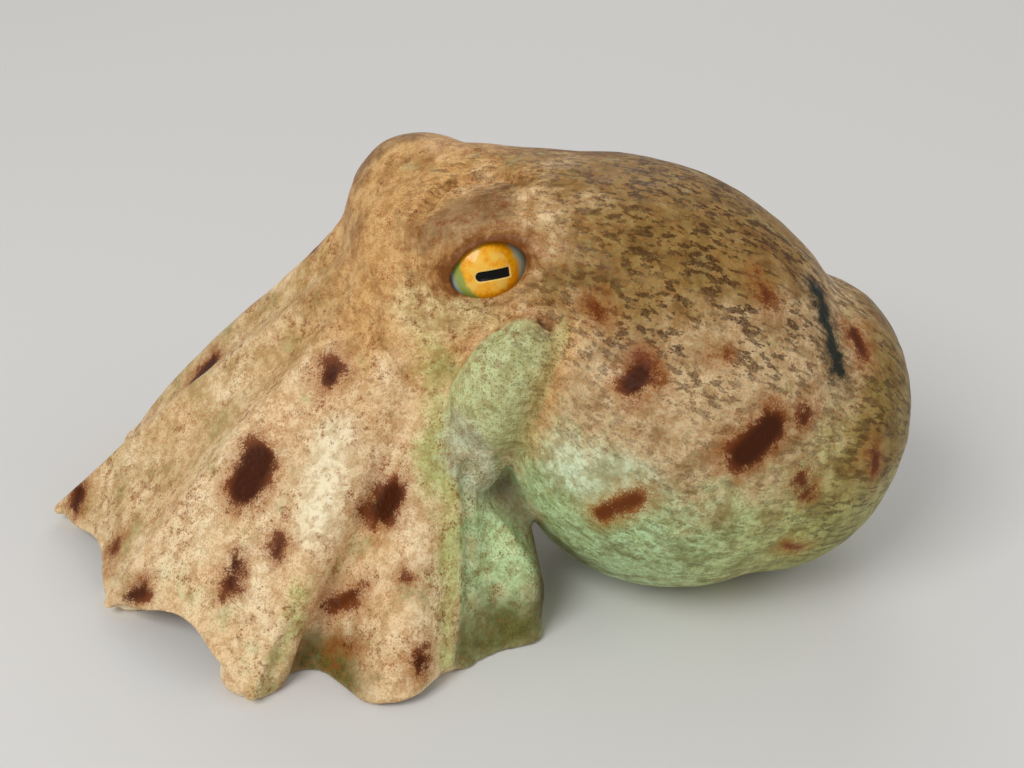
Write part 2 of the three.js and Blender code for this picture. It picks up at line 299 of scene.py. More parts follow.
def smooth_curve(points, steps=24):
    """A centripetal Catmull-Rom curve through points, with steps places from each to the next."""
    p = np.vstack([2 * points[0] - points[1], points, 2 * points[-1] - points[-2]])
    t = np.linspace(0, 1, steps, endpoint=False)[:, None]
    pieces = []
    for a, b, c, d in zip(p[:-3], p[1:-2], p[2:-1], p[3:]):
        ab, bc, cd = (math.sqrt(np.linalg.norm(q - r)) for q, r in ((b, a), (c, b), (d, c)))
        leave = bc * ((b - a) / ab - (c - a) / (ab + bc) + (c - b) / bc)
        arrive = bc * ((c - b) / bc - (d - b) / (bc + cd) + (d - c) / cd)
        pieces.append(b + t * leave + t**2 * (3 * (c - b) - 2 * leave - arrive)
                      + t**3 * (2 * (b - c) + leave + arrive))
    return np.vstack([*pieces, p[-2:-1]])


def lengths_along(curve):
    """The length of a curve from its start to each of its points."""
    return np.concatenate([[0], np.cumsum(np.linalg.norm(np.diff(curve, axis=0), axis=1))])


def spaced(curve, spacing):
    """Places at an even spacing along a curve, and each one's share of its length."""
    along = lengths_along(curve)
    share = np.linspace(0, 1, int(along[-1] / spacing) + 2)
    places = np.stack([np.interp(share * along[-1], along, curve[:, i]) for i in range(3)], 1)
    return places, share


def line_through(points):
    """Places one grid step apart on a smooth curve through points, and their shares."""
    return spaced(smooth_curve(np.array(points, float)), STEP)


def arc(place, heading, turn, radius, end_radius, steps):
    """Floor points along an arc from a place and a heading, whose radius may shrink."""
    points = []
    x, y = place[:2]
    for i in range(steps):
        stride = abs(turn) / steps * (radius + (end_radius - radius) * (i + 0.5) / steps)
        x += stride * math.cos(heading + turn / steps / 2)
        y += stride * math.sin(heading + turn / steps / 2)
        heading += turn / steps
        points.append((x, y, 0))
    return points


print("an arm's radius goes from", arm_radius(0), "mm at its root to", arm_radius(1), "mm at its tip")

# %% [markdown]
# ## Ridges and arms
# The upper part of an arm is a ridge that holds the web up. It is a simple curve with three control
# points, as the webs have to be hung between the same curves later. The rest of the arm goes on from
# the ridge's foot through floor points, and each turn of a coil is lifted to lie on the one before.


# %% Ridges down the tent
def ridge(arm):
    """The three control points of the curve down the outside of the web."""
    root, hem = np.array(arm["root"], float), np.array([*arm["foot"], 0.3])
    outward = unit((hem - root) * (1, 1, 0))
    return root, (root + hem) / 2 + arm["swell"] * (outward + (0, 0, 1)), hem


def on_ridge(arm, v):
    """Places on a ridge, with v from 0 at the head to 1 at the hem."""
    a, b, c = ridge(arm)
    v = np.asarray(v)[..., None]
    return (1 - v) ** 2 * a + 2 * v * (1 - v) * b + v**2 * c


def ridge_direction(arm, v):
    """The direction down a ridge."""
    a, b, c = ridge(arm)
    v = np.asarray(v)[..., None]
    d = (1 - v) * (b - a) + v * (c - b)
    return d / np.linalg.norm(d, axis=-1, keepdims=True)


print("halfway down, the ridge of left_2 is", round(on_ridge(ARMS["left_2"], 0.5)[2]), "mm up")


# %% Each arm's line
def arm_curve(arm):
    """The whole line of an arm: down its ridge, over its landing and along the floor."""
    root, _, hem = ridge(arm)
    outward = unit((hem - root) * (1, 1, 0))
    side = np.array([-outward[1], outward[0], 0])
    heading = math.atan2(outward[1], outward[0])
    slope = []
    for v in (0, 0.25, 0.5) if "knuckle" in arm else (0, 0.25, 0.5, 0.75):
        inward = unit(np.cross(ridge_direction(arm, v), side))
        slope.append(on_ridge(arm, v) - inward * (RIDGE_DEPTH if v else 0))
    down = math.atan2(root[2] - hem[2], np.linalg.norm((hem - root)[:2]))
    before = (RIDGE_DEPTH + arm_radius(0.45) * LYING * math.cos(down)) / math.sin(down)
    foot = np.array([*arm["foot"], 0.0])
    landing = foot - outward * before
    coil = []
    if "trail" not in arm:
        floor = [landing, *arc(landing, heading, -math.pi, TUCK["hook"], TUCK["hook"], 4)]
        floor.append(floor[4] - outward * TUCK["run"])
        turn = -TUCK["turns"] * 2 * math.pi
        coil = arc(floor[5], heading + math.pi, turn, TUCK["coil"], TUCK["coil_end"], 18)
    else:
        floor = [landing]
        if "knuckle" in arm:
            bend = arm["knuckle"]
            hub = foot - outward * (4 + bend) + (0, 0, bend)
            floor = [hub + bend * (math.cos(a) * outward + (0, 0, math.sin(a)))
                     for a in np.radians([50, 0, -45, -90])]
        floor += [np.array([*p, 0.0]) for p in arm["trail"]]
        last_step = floor[-1] - floor[-2]
        onward = math.atan2(last_step[1], last_step[0])
        turn = CURL["turns"] * 2 * math.pi
        floor += arc(floor[-1], onward, turn, CURL["radius"], CURL["end_radius"], 9)
    points = np.array([*slope, *floor, *coil], float)
    along = lengths_along(smooth_curve(points))[::24]
    rise = 0
    for i in range(len(slope), len(points)):
        radius = arm_radius(along[i] / along[-1])
        if i >= len(slope) + len(floor):
            rise += (2 * radius + TUCK["clearance"]) * TUCK["turns"] / len(coil)
        points[i, 2] += radius * LYING + rise
    return smooth_curve(points)


curves = {name: arm_curve(arm) for name, arm in ARMS.items()}
for name, curve in curves.items():
    print("arm", name, round(lengths_along(curve)[-1]), "mm long")

# %% [markdown]
# ## The webs
# A web is one sheet from arm to arm. It is described by two numbers: u runs across from one ridge to
# the next, and w runs down from the head to the hem. Bows, folds and the lifted hem are small sums
# of sines in those two numbers, which keeps a sheet smooth and easy to change.

# %% Measurements of the webs
WEB_HALF = 1.0  # half the sheet's thickness
WEB_TOP = 0.12
WEB_END = 1.012  # a little way below the floor, where it is cut off level
WEBS = {
    "left_1_2": dict(arms=("left_1", "left_2"), bow=-1, arch=0.1),
    "left_2_3": dict(arms=("left_2", "left_3"), bow=2, arch=0.13),
    "left_3_4": dict(arms=("left_3", "left_4"), fold=-5, hollow=-2.5),
    "left_4_right_4": dict(arms=("left_4", "right_4"), bow=-1.5, arch=0.02),
    "right_4_3": dict(arms=("right_4", "right_3"), bow=-6, arch=0.45),
    "right_3_2": dict(arms=("right_3", "right_2"), bow=-1, arch=0.15),
    "right_2_1": dict(arms=("right_2", "right_1"), bow=-2, arch=0.15),
    "right_1_left_1": dict(arms=("right_1", "left_1"), bow=-1, arch=0.08),
}
print("webs:", len(WEBS), "each", 2 * WEB_HALF, "mm thick")


# %% Web sheets
def web_place(web, u, w):
    """A place on the middle of a web sheet, and the direction out of it."""
    a, b = (ARMS[name] for name in web["arms"])
    hem = 1 - web.get("arch", 0) * np.sin(np.pi * u) - 0.05 * np.cos(np.pi * u) ** 8
    start, end = on_ridge(a, w * hem), on_ridge(b, w * hem)
    down = ridge_direction(a, w * hem) + ridge_direction(b, w * hem)
    out = np.cross(down, end - start)
    out /= np.linalg.norm(out, axis=-1, keepdims=True)
    bulge = web.get("bow", 0) * np.sin(np.pi * u) + web.get("fold", 0) * np.sin(2 * np.pi * u)
    hollow = web.get("hollow", 0) * np.sin(np.pi * np.clip(u / 0.62, 0, 1))
    bulge = bulge + hollow * fade(w, 0.66, 1.0)
    place = start + u[..., None] * (end - start)
    return place + (bulge * np.sin(np.pi * w / 2))[..., None] * out, out


def web_samples(web, spacing):
    """Places all over a web sheet, no further apart than spacing."""
    edge = web_place(web, np.linspace(0, 1, 40), np.ones(40))[0]
    across = int(lengths_along(edge)[-1] / spacing) + 1
    side = web_place(web, np.zeros(40), np.linspace(WEB_TOP, 1, 40))[0]
    down = int(lengths_along(side)[-1] / spacing) + 1
    u, w = np.meshgrid(np.linspace(0, 1, across), np.linspace(WEB_TOP, WEB_END, down))
    return web_place(web, u.ravel(), w.ravel())[0]


print("places on one web:", len(web_samples(WEBS["left_2_3"], STEP)))

# %% [markdown]
# ## Joining the flesh
# How soft a join is decides how fleshy the body looks: wide fillets where the head melts into the
# mantle, narrow ones where an arm lies against the body. The order matters too. The tent of webs and
# ridges is joined first, then the head and mantle, and the trailing arms last with almost no fillet.

# %% Join the lobes
head = join(lobe(**HEAD), lobe(**NAPE), 5)  # the last number is a fillet's width in millimetres
head = join(head, lobe(**CROWN), 5)
for part in (SADDLE, FAR_BROW):
    head = join(head, lobe(**part), 4)
for bulge, gaze in EYES.values():
    head = join(head, lobe(bulge, (SWELLING,) * 3), 4)
mantle = join(lobe(**MANTLE), lobe(**MANTLE_BACK), 5)
mantle = join(mantle, lobe(**MANTLE_TIP), 2.5)
print("the mantle alone fills", round(float((mantle < 0).sum()) * STEP**3 / 1000), "cubic centimetres")

# %% [markdown]
# ## The tent
# The upper part of each arm is a ridge in the web. An arm is drawn as a ball moved along its line,
# which gives a round limb of any thickness, where a bent cone would need its own mesh. An arm that is
# tucked under the hem is drawn slimmer than life, as its bulge would show through the web. Beside the
# mantle the last web stands free: that dark gap is a bent tube, cut before the tent meets the mantle.

# %% Arms as they are drawn
SLOPE_SHARE = 0.36  # how much of an arm is ridge
FOOT_SHARE = 0.42  # where an arm has passed its foot
THINNER = {"left_1": 0.35, "left_2": 0.35, "left_3": 0.35, "left_4": 0.35, "right_1": 0.2, "right_4": 0.4}


def drawn_arm(name, spacing):
    """An arm's places, radii and shares, slimmer where it would bulge out at the hem."""
    places, share = spaced(curves[name], spacing)
    radius = arm_radius(share)
    if name == "right_4":
        return places, radius * (1 - THINNER[name] * fade(share, FOOT_SHARE, 0.34)), share
    thinner = radius * THINNER.get(name, 0) * fade(share, 0.2, FOOT_SHARE)
    places[:, 2] -= thinner * LYING * fade(share, 0.3, FOOT_SHARE)
    return places, radius - thinner, share


print("slimmer arms:", ", ".join(THINNER))

# %% Join the tent
GAP_BESIDE_MANTLE = [
    (-3.2, -28.2, 29.6), (-0.9, -28.8, 27.2), (1.9, -31, 24.2), (5.3, -33, 20.4), (8.9, -34.7, 14.4),
    (10.5, -36.7, 8.4),
]
GAP_RADIUS = 4.2
CORNER_RADIUS = 3.2  # the thick front edge of the last web
CORNER_SHIFT = ([1, 8, 15, 22], [0.1, 1.3, 0.4, -2.5])  # how far it stands forward, by height
tent = np.full(GRID, FAR, np.float32)
for web in WEBS.values():
    tent = join(tent, sweep(web_samples(web, STEP), WEB_HALF, 3.5), 1.5)
ridges = np.full(GRID, FAR, np.float32)
trails = np.full(GRID, FAR, np.float32)
for name in curves:
    places, radius, share = drawn_arm(name, STEP)
    upper, lower = share < SLOPE_SHARE, share > SLOPE_SHARE - 0.02
    ridges = join(ridges, sweep(places[upper], radius[upper], 4), 2)
    trails = join(trails, sweep(places[lower], radius[lower], 4), 0.6)
corner = on_ridge(ARMS["right_4"], np.linspace(0.5, 1.01, 60)) - (0.6, -2.6, 0.6)
corner[:, 0] += np.interp(corner[:, 2], *CORNER_SHIFT)
ridges = join(ridges, sweep(corner, CORNER_RADIUS, 4), 3)
tent = join(tent, ridges, 3)
gap = line_through(GAP_BESIDE_MANTLE)[0]
tent = cut(tent, sweep(gap, GAP_RADIUS, 4), 0.8)
flesh = join(join(head, mantle, 7), join(head, tent, 4), 1.2)
flesh = join(flesh, trails, 0.8)
flesh = np.maximum(flesh, -Z)
print("the flesh fills", round(float((flesh < 0).sum()) * STEP**3 / 1000), "cubic centimetres")

# %% [markdown]
# ## Eye openings
# An eye isn't a ball stuck on a head: it lies in a socket, and skin comes over its edge as lids. So
# the eyeball's room and a pointed oval opening are cut from the flesh, with a rounded rim. Lids could
# be modelled as rolls of their own, but a cut edge meets the eyeball everywhere without a seam.

# %% Cut the eye openings
LID_ROUNDING = 0.8
LID_ROOM = 0.04  # between the eyeball and the lids


def eye_axes(side):
    """Directions back along the eye opening, up across it, and out along the line of sight."""
    gaze = unit(EYES[side][1])
    up = unit((0, 0, 1) - gaze[2] * gaze)
    back = np.cross(up, gaze) * (1 if side == "left" else -1)
    c, s = math.cos(EYE_TILT), math.sin(EYE_TILT)
    return c * back + s * up, c * up - s * back, gaze


def eye_field(side, places):
    """How far places are along, across and out of an eye, from the eyeball's centre."""
    offset = [axis - c for axis, c in zip(places, eye_centre(side))]
    return [sum(o * d for o, d in zip(offset, axis)) for axis in eye_axes(side)]


def opening_field(along, across):
    """How far a place is outside the opening between the lids, which is pointed at its front end."""
    end = np.where(along < 0, 1.55, 2.0)
    ring = (np.abs(along) / EYE_OPENING[0]) ** end + (np.abs(across - 0.25) / EYE_OPENING[1]) ** 2
    return (np.sqrt(ring) - 1) * EYE_OPENING[1]


for side in EYES:
    along, across, out = eye_field(side, (X, Y, Z))
    opening = np.maximum(opening_field(along, across), -out)
    socket = lobe(eye_centre(side), (EYEBALL + LID_ROOM,) * 3)
    flesh = cut(flesh, opening, LID_ROUNDING)
    flesh = np.maximum(flesh, -socket)
print("eye openings", 2 * EYE_OPENING[0], "by", 2 * EYE_OPENING[1], "mm")

# %% [markdown]
# ## Funnel and furrows
# The funnel is the tube that the animal breathes out and jets through. It is bent back along the near
# side of the head, and joined with hardly any fillet, so that it lies on the body as a lobe of its
# own. Furrows are thin strokes, cut where one part of the flesh is pressed against another. Their
# points, and those of the gap beside the mantle, were set by hand near places on a draft of this skin
# that a separate ray caster printed.

# %% Add the funnel
FUNNEL_PATH = [(-3, -15, 30), (-3.5, -21.5, 36), (-3, -25.3, 42.5), (0.3, -26.3, 50), (4.6, -25.6, 56)]
FUNNEL_RADII = [6.5, 7.6, 8.2, 7.6, 4.8]
FUNNEL_BORE = 1.3
LOW_LOBE = dict(centre=(-5.2, -26.2, 33), radii=(4.6, 5.2, 8.5))
path, share = line_through(FUNNEL_PATH)
funnel_radius = np.interp(share * 4, range(5), FUNNEL_RADII)
solid = share < 0.9
funnel = sweep(path[solid], funnel_radius[solid], 4)
mouth = path[-1] + np.outer(np.arange(-6, 5) * 0.5, unit(path[-1] - path[-4]))
funnel = cut(funnel, sweep(mouth, FUNNEL_BORE, 3), 0.9)
flesh = join(flesh, lobe(**LOW_LOBE), 0.8)
flesh = join(flesh, funnel, 0.9)
print("funnel", round(lengths_along(path)[-1]), "mm along its bend")

# %% Cut the furrows
FURROWS = [  # a line and a radius: under the funnel, beside the last web, over the brow, before it, in a web
    ([(2.7, -31.2, 36.2), (0.5, -29.4, 34), (-1.7, -28.2, 31), (-2.9, -28.6, 27.2)], 0.6),
    ([(-7.6, -30.8, 32), (-7.4, -32.6, 28), (-7.0, -35.6, 22.4), (-7.0, -39.8, 14.9), (-7.4, -43.2, 8.8),
      (-8.4, -47.4, 2)], 1.2),
    ([(-14.2, -9.6, 72.0), (-10.3, -6.4, 74.0), (-3.7, -7.2, 75.6), (3.0, -11.4, 76.6)], 0.7),
    ([(-14.0, -9.8, 72.3), (-16.4, -12.2, 69.8), (-17.0, -14.6, 66.5), (-16.6, -17.4, 61.5),
      (-14.0, -20.2, 57.0)], 0.8),
    ([(-30.4, -40.6, 15.0), (-33.6, -44.6, 10.6), (-36.6, -49.6, 7.2), (-39.6, -53.4, 3.4)], 0.7),
]
for points, radius in FURROWS:
    flesh = cut(flesh, sweep(line_through(points)[0], radius, 3), 0.9)
flesh = np.maximum(flesh, -Z)
print("furrows:", len(FURROWS))

# %% [markdown]
# ## Drawing the skin
# OpenVDB, a library for fields that comes with Blender, turns the block into a mesh where the field
# is zero. Its faces are about as large as a grid step, far too small to see. The raw mesh carries
# faint steps from the grid, so its points are averaged a little with their neighbours. The same
# averaging, over a wider reach, will later soften the edges of the colour zones.

# %% Draw the skin
field = vdb.FloatGrid(FAR)
field.transform = vdb.createLinearTransform(voxelSize=STEP)
field.copyFromArray(flesh.astype(np.float32))
places, _, quads = field.convertToPolygons(isovalue=0.0, adaptivity=0.0)
places = places + body_low
print("skin:", len(places), "points,", len(quads), "faces")


def mesh_object(name, places, faces):
    """A smooth-shaded object from body points in millimetres."""
    mesh = bpy.data.meshes.new(name)
    mesh.from_pydata(in_frame(places).tolist(), [], faces)
    mesh.polygons.foreach_set("use_smooth", [True] * len(mesh.polygons))
    made = bpy.data.objects.new(name, mesh)
    bpy.context.scene.collection.objects.link(made)
    return made


def move_points(made, places):
    """Moves a mesh's points to body places in millimetres."""
    made.data.vertices.foreach_set("co", in_frame(places).ravel().astype(np.float32))
    made.data.update()


def store(made, name, values):
    """Writes a value or a vector for every point of a mesh, where a material can read it."""
    values = np.asarray(values, np.float32)
    kind, label = ("FLOAT", "value") if values.ndim == 1 else ("FLOAT_VECTOR", "vector")
    layer = made.data.attributes.new(name, kind, "POINT")
    layer.data.foreach_set(label, values.ravel())


skin = mesh_object("skin", places, quads.tolist())

# %% Soften the skin
ZONE_SOFTNESS = 2.6  # millimetres
SKIN_SOFTNESS = 0.6
links = np.zeros(len(skin.data.edges) * 2, np.int32)
skin.data.edges.foreach_get("vertices", links)
links = np.vstack([links.reshape(-1, 2), links.reshape(-1, 2)[:, ::-1]])
neighbours = np.bincount(links[:, 0], minlength=len(places))


def soften(values, distance):
    """Spreads a field over the skin, by averaging each point with its neighbours again and again."""
    for _ in range(round(2 * (distance / STEP) ** 2)):
        total = np.bincount(links[:, 0], values[links[:, 1]], len(places))
        values = 0.5 * values + 0.5 * total / neighbours
    return values


raw_places = places
places = np.stack([soften(axis, SKIN_SOFTNESS) for axis in places.T], 1)
move_points(skin, places)
normals = np.zeros(len(places) * 3, np.float32)
skin.data.vertex_normals.foreach_get("vector", normals)
normals = normals.reshape(-1, 3)
print("softening moved a point by up to", round(float(np.abs(places - raw_places).max()), 2), "mm")

# %% Soft random fields
def soft_noise(where, size, seed):
    """Smooth random values from -1 to 1 that change over about size millimetres."""
    lattice = np.random.default_rng(seed).uniform(-1, 1, (32, 32, 32))
    q = where / size
    base = np.floor(q).astype(int)
    f = q - base
    f = f * f * (3 - 2 * f)
    total = np.zeros(len(where))
    for corner in np.ndindex(2, 2, 2):
        weight = np.prod(np.where(corner, f, 1 - f), axis=1)
        i, j, k = ((base + corner) % 32).T
        total += weight * lattice[i, j, k]
    return total


example = soft_noise(places[::500], 9, 1)
print("a soft random field runs from", round(example.min(), 2), "to", round(example.max(), 2))

# %% [markdown]
# ## Where each point of skin is on the body
# Markings follow the body: streaks run from the head over the mantle, blotches sit on the webs. So
# each point of skin is told its height, which web it is on and where, and how far it lies along the
# lines that run out from the head. Everything that is painted later is worked out from these.

# %% Places on the webs
def lookup(points):
    """A search tree that finds the nearest of many points."""
    made = KDTree(len(points))
    for i, point in enumerate(points):
        made.insert(point, i)
    made.balance()
    return made


TENT_END, TENT_TOP = 14, 58  # no web is further back or higher, in millimetres
web_names = list(WEBS)
u, w = (axis.ravel() for axis in np.meshgrid(np.linspace(0, 1, 45), np.linspace(0.05, 1, 60)))
sheet_places = np.vstack([np.hstack(web_place(web, u, w)) for web in WEBS.values()])
sheet_lookup = lookup(sheet_places[:, :3])
nearest = np.zeros(len(places), int)
web_gap = np.full(len(places), FAR)
for i in np.flatnonzero((places[:, 0] < TENT_END) & (places[:, 2] < TENT_TOP)):
    _, nearest[i], web_gap[i] = sheet_lookup.find(places[i])
web_of, sample = np.divmod(nearest, len(u))
web_u, web_w = u[sample], w[sample]
outside = np.einsum("ij,ij->i", places - sheet_places[nearest, :3], sheet_places[nearest, 3:])
on_tent = fade(web_gap, 6.5, 3.5)
inside_tent = on_tent * fade(outside, 0.3, -0.3)
print("points on the tent:", int((on_tent > 0.5).sum()), "inside it:", int((inside_tent > 0.5).sum()))


def on_web(name, u=None, w=None, reach_u=0.3, reach_w=0.2):
    """1 at a place on the outside of a web, fading to 0 away from it."""
    mask = (web_of == web_names.index(name)) * on_tent * (1 - inside_tent)
    if u is not None:
        mask = mask * fade(np.abs(web_u - u), reach_u, 0)
    if w is not None:
        mask = mask * fade(np.abs(web_w - w), reach_w, 0)
    return mask


# %% Places on the trailing arms
LYING_HEIGHT = 14  # millimetres, above which no lying arm is looked for
trailing = [drawn_arm(name, 0.8) for name in curves if "trail" in ARMS[name]]
arm_places = np.vstack([line[share > 0.2] for line, radii, share in trailing])
arm_radii = np.concatenate([radii[share > 0.2] for line, radii, share in trailing])
arm_lookup = lookup(arm_places)
on_arm = np.zeros(len(places))
for i in np.flatnonzero(places[:, 2] < LYING_HEIGHT):
    _, k, distance = arm_lookup.find(places[i])
    on_arm[i] = fade(distance - arm_radii[k], 1.6, 0.6)
print("points on the trailing arms:", int((on_arm > 0.5).sum()))

# %% [markdown]
# ## Lines of flow
# Flecks and wrinkles are stretched along the body: from the brow back over the mantle, and from the
# crown down the tent. A place is therefore given as its distance from a start and its turn round an
# axis, like the parallels and meridians of a globe. Noise read at such a place runs the right way.

# %% Lines of flow
CROWN_TOP = np.array([-13.0, -4.0, 62.0])
FLOW_START = np.array([-40.0, -2.0, 68.0])
MANTLE_END = np.array([68.0, -9.0, 24.0])
NECK_NORMAL = np.array([0.9, 0.297, -0.315])


def fan(where, start, axis, round_size):
    """Distance from start, and the direction round an axis as a place on a circle."""
    axis = unit(axis)
    side = unit(np.cross(axis, (0, 1, 0)))
    offset = where - start
    a, b = offset @ side, offset @ np.cross(axis, side)
    spread = np.sqrt(a * a + b * b) + 1e-6
    distance = np.linalg.norm(offset, axis=1)
    return np.stack([distance, round_size * a / spread, round_size * b / spread], 1)


on_mantle = fade(places @ NECK_NORMAL, -42, -6) * (1 - on_tent) * (1 - on_arm)
body_flow = fan(places, FLOW_START, MANTLE_END - FLOW_START, 30)
tent_flow = fan(places, CROWN_TOP, np.array([0, 0, 1.0]), 40)
flow = np.where(on_tent[:, None] > 0.5, tent_flow, body_flow)
print("points on the mantle:", int((on_mantle > 0.5).sum()))

# %% [markdown]
# ## Uneven flesh
# Living skin is never quite even. A sculptor would press it in by hand. Here the points are pushed in
# by soft random fields, broad ones for slack flesh and narrow ones along the flow for wrinkles, and by
# a ring round each eye for the fold of the lid. They only ever move inward, to stay in the solids.

# %% Uneven flesh and wrinkles
WRINKLE_STRETCH = (0.3, 1, 1)  # below 1 makes a wrinkle longer along the flow
LID_FOLD = dict(distance=2.7, width=0.9, depth=0.45)
slack = 0.35 * (1 + soft_noise(places, 9, 1)) + 0.16 * (1 + soft_noise(places, 3.4, 2))
wrinkle = 0.16 * (1 + soft_noise(flow * WRINKLE_STRETCH, 1.5, 3)) * fade(places[:, 2], 20, 50)
lid_fold = 0
for side in EYES:
    along, across, out = eye_field(side, places.T)
    ring = opening_field(along, across)
    beside = fade(np.abs(ring - LID_FOLD["distance"]), LID_FOLD["width"], 0)
    lid_fold = lid_fold + LID_FOLD["depth"] * beside * fade(out, 0, 3)
press = (slack + wrinkle) * fade(places[:, 2], 0, 3) * 0.6 + lid_fold
places = places - normals * press[:, None]
places[:, 2] = np.maximum(places[:, 2], 0)
move_points(skin, places)
print("the skin is pressed in by", round(float(press.mean()), 2), "mm on average")

# %% [markdown]
# ## Markings
# A musky octopus wears large dark blotches on pale, finely dotted skin, and it looks greener and paler
# underneath. Painting an image would tie the look to one unwrap. Instead each marking is a field on
# the skin's points, such as how many millimetres a point is from the nearest blotch, and the material
# turns the fields into ragged colour. A blotch is a stroke from one place to another, with a radius.
#
# These numbers were not all chosen by hand. Every place on the mantle and along the crease, and 14 of
# the 32 on the webs, stand as a separate ray caster printed them on a draft of this skin. 10 more on
# the webs were moved from measured ones, and the last 8 and all the radii were chosen one by one.

# %% Blotches
WEB_BLOTCHES = [
    ("left_2_3", (0.38, 0.27), (0.36, 0.25), 2.2),
    ("left_2_3", (0.345, 0.62), (0.31, 0.555), 4.3),
    ("left_2_3", (0.84, 0.70), (0.82, 0.67), 1.3),
    ("left_2_3", (0.66, 0.86), (0.62, 0.81), 1.8),
    ("left_2_3", (0.11, 0.99), (0.17, 0.97), 2.0),
    ("left_1_2", (0.12, 0.98), (0.04, 0.94), 2.1),
    ("left_1_2", (0.72, 0.98), (0.67, 0.95), 0.9),
    ("left_3_4", (0.48, 0.5), (0.52, 0.46), 3.2),
    ("left_3_4", (0.32, 0.76), (0.44, 0.72), 1.2),
    ("left_3_4", (0.38, 0.86), (0.46, 0.87), 0.7),
    ("left_3_4", (0.82, 0.94), (0.82, 0.93), 2.0),
    ("left_3_4", (0.67, 0.69), (0.70, 0.69), 0.5),
    ("right_1_left_1", (0.45, 0.55), (0.5, 0.62), 2.6),
    ("right_2_1", (0.5, 0.4), (0.45, 0.5), 2.8),
    ("right_2_1", (0.3, 0.85), (0.33, 0.8), 1.8),
    ("right_3_2", (0.55, 0.6), (0.5, 0.7), 2.2),
]
MANTLE_BLOTCHES = [
    ((19.2, -37.3, 53.3), (20.5, -36.7, 54.8), 2.6),
    ((37.6, -42.0, 42.7), (41.9, -39.6, 46.4), 3.3),
    ((47.6, -36.8, 46.1), (48.3, -35.8, 47.4), 1.4),
    ((13.4, -29.1, 63.2), (14.2, -30.0, 61.0), 0.8),
    ((39.8, -24.8, 66.4), (41.5, -27.4, 63.6), 0.8),
    ((48.0, -38.6, 35.7), (49.5, -37.8, 32.3), 1.0),
    ((61.4, -31.6, 36.6), (62.2, -31.7, 33.3), 1.0),
    ((57.9, -20.2, 53.4), (59.2, -22.9, 51.1), 1.5),
    ((32.3, -35.8, 57.8), (34.0, -35.4, 58.1), 0.5),
]
RUSTY_BLOTCHES = [
    ((14.8, -40.4, 29.7), (20.3, -42.6, 34.4), 1.9),
    ((47.3, -36.4, 19.8), (50.2, -34.8, 17.6), 0.9),
]
# the crease between the mantle and its tip lobe, along which shade is painted
CREASE_LINE = [(51.1, -19.7, 60.5), (52.1, -22.3, 57.5), (53.2, -24.9, 54.2), (54.3, -28.1, 49.9)]


def from_stroke(a, b):
    """How far every point of skin is from the line between two places."""
    a, b = np.array(a), np.array(b)
    line = b - a
    t = np.clip((places - a) @ line / (line @ line), 0, 1)
    return np.linalg.norm(places - a - t[:, None] * line, axis=1)


def from_strokes(strokes):
    """How far every point is outside the nearest of several strokes, each with a radius."""
    gap_to_stroke = np.full(len(places), FAR)
    for a, b, radius in strokes:
        gap_to_stroke = np.minimum(gap_to_stroke, from_stroke(a, b) - radius)
    return gap_to_stroke


def web_spot(name, u, w):
    """The place on the outside of a web."""
    middle, out = web_place(WEBS[name], np.array([u]), np.array([w]))
    return (middle + WEB_HALF * out)[0]


web_strokes = [(web_spot(name, *a), web_spot(name, *b), radius) for name, a, b, radius in WEB_BLOTCHES]
blotch = from_strokes(web_strokes + MANTLE_BLOTCHES)
rust = from_strokes(RUSTY_BLOTCHES)
crease = np.min([from_stroke(a, b) for a, b in zip(CREASE_LINE, CREASE_LINE[1:])], axis=0)
print("blotches:", len(web_strokes + MANTLE_BLOTCHES + RUSTY_BLOTCHES))

# %% Blotches on the far side
FAR_SIDE_BLOTCHES = 30
BLOTCH_SPACING = 7  # millimetres clear round each
CLEAR_OF_HEAD = 24
rng = np.random.default_rng(8)
far_side = (places[:, 1] > 8) & (places[:, 2] > 3) & (inside_tent < 0.5) & (normals[:, 2] > -0.3)
far_side &= np.linalg.norm(places - (-10, 0, 68), axis=1) > CLEAR_OF_HEAD
hidden_side = np.flatnonzero(far_side)
scattered = 0
for i in rng.permutation(hidden_side):
    if scattered == FAR_SIDE_BLOTCHES:
        break
    if blotch[i] < BLOTCH_SPACING:
        continue
    radius = rng.uniform(0.6, 2.5)
    lean = np.cross(normals[i], rng.normal(size=3)) * radius * 0.35
    blotch = np.minimum(blotch, from_stroke(places[i] - lean, places[i] + lean) - radius)
    scattered += 1
blotch = np.minimum(blotch + inside_tent * FAR, FAR)
print("scattered over the far side:", scattered)

# %% [markdown]
# ## Broad colour zones
# The crown is a warm tan, the back of the mantle olive, its underside green, and the web's last fold
# pale green. Each zone is a mask, 1 where the colour is full and 0 where it is gone, worked out from
# height, from strokes and from places on the webs. Some masks are not skin colour but painted light and
# shade: highlights on the mantle and the tent, shade in the gap beside the mantle and in a hollow of a
# web, and a shadow beside the funnel. The edges are softened here and made cloudy in the material,
# which looks more alive than a painted border.

# %% Masks of the head, funnel and mantle
height = places[:, 2]
rear = places @ (0.94, 0, -0.34)  # how far back a point lies along the drooping mantle
from_crown = np.linalg.norm(places - (-14, -3, 60), axis=1)
rings, brow = [], 0
for side in EYES:
    along, across, out = eye_field(side, places.T)
    # the ring reaches further above the eye than below, so its dark rim is wider above, as painted shade
    # from the brow
    ring = opening_field(along, across) + 1.5 * fade(across, 0.5, -4) - 0.8 * fade(across, 1, 4)
    rings.append(np.where(out > 2, ring, FAR))
    over_eye = fade(across, 4.5, 8) * fade(across, 17, 11) * fade(np.abs(along + 1), 15, 6)
    brow = np.maximum(brow, over_eye * fade(out, -3, 2))
lid_rim_and_shade = np.minimum(*rings)


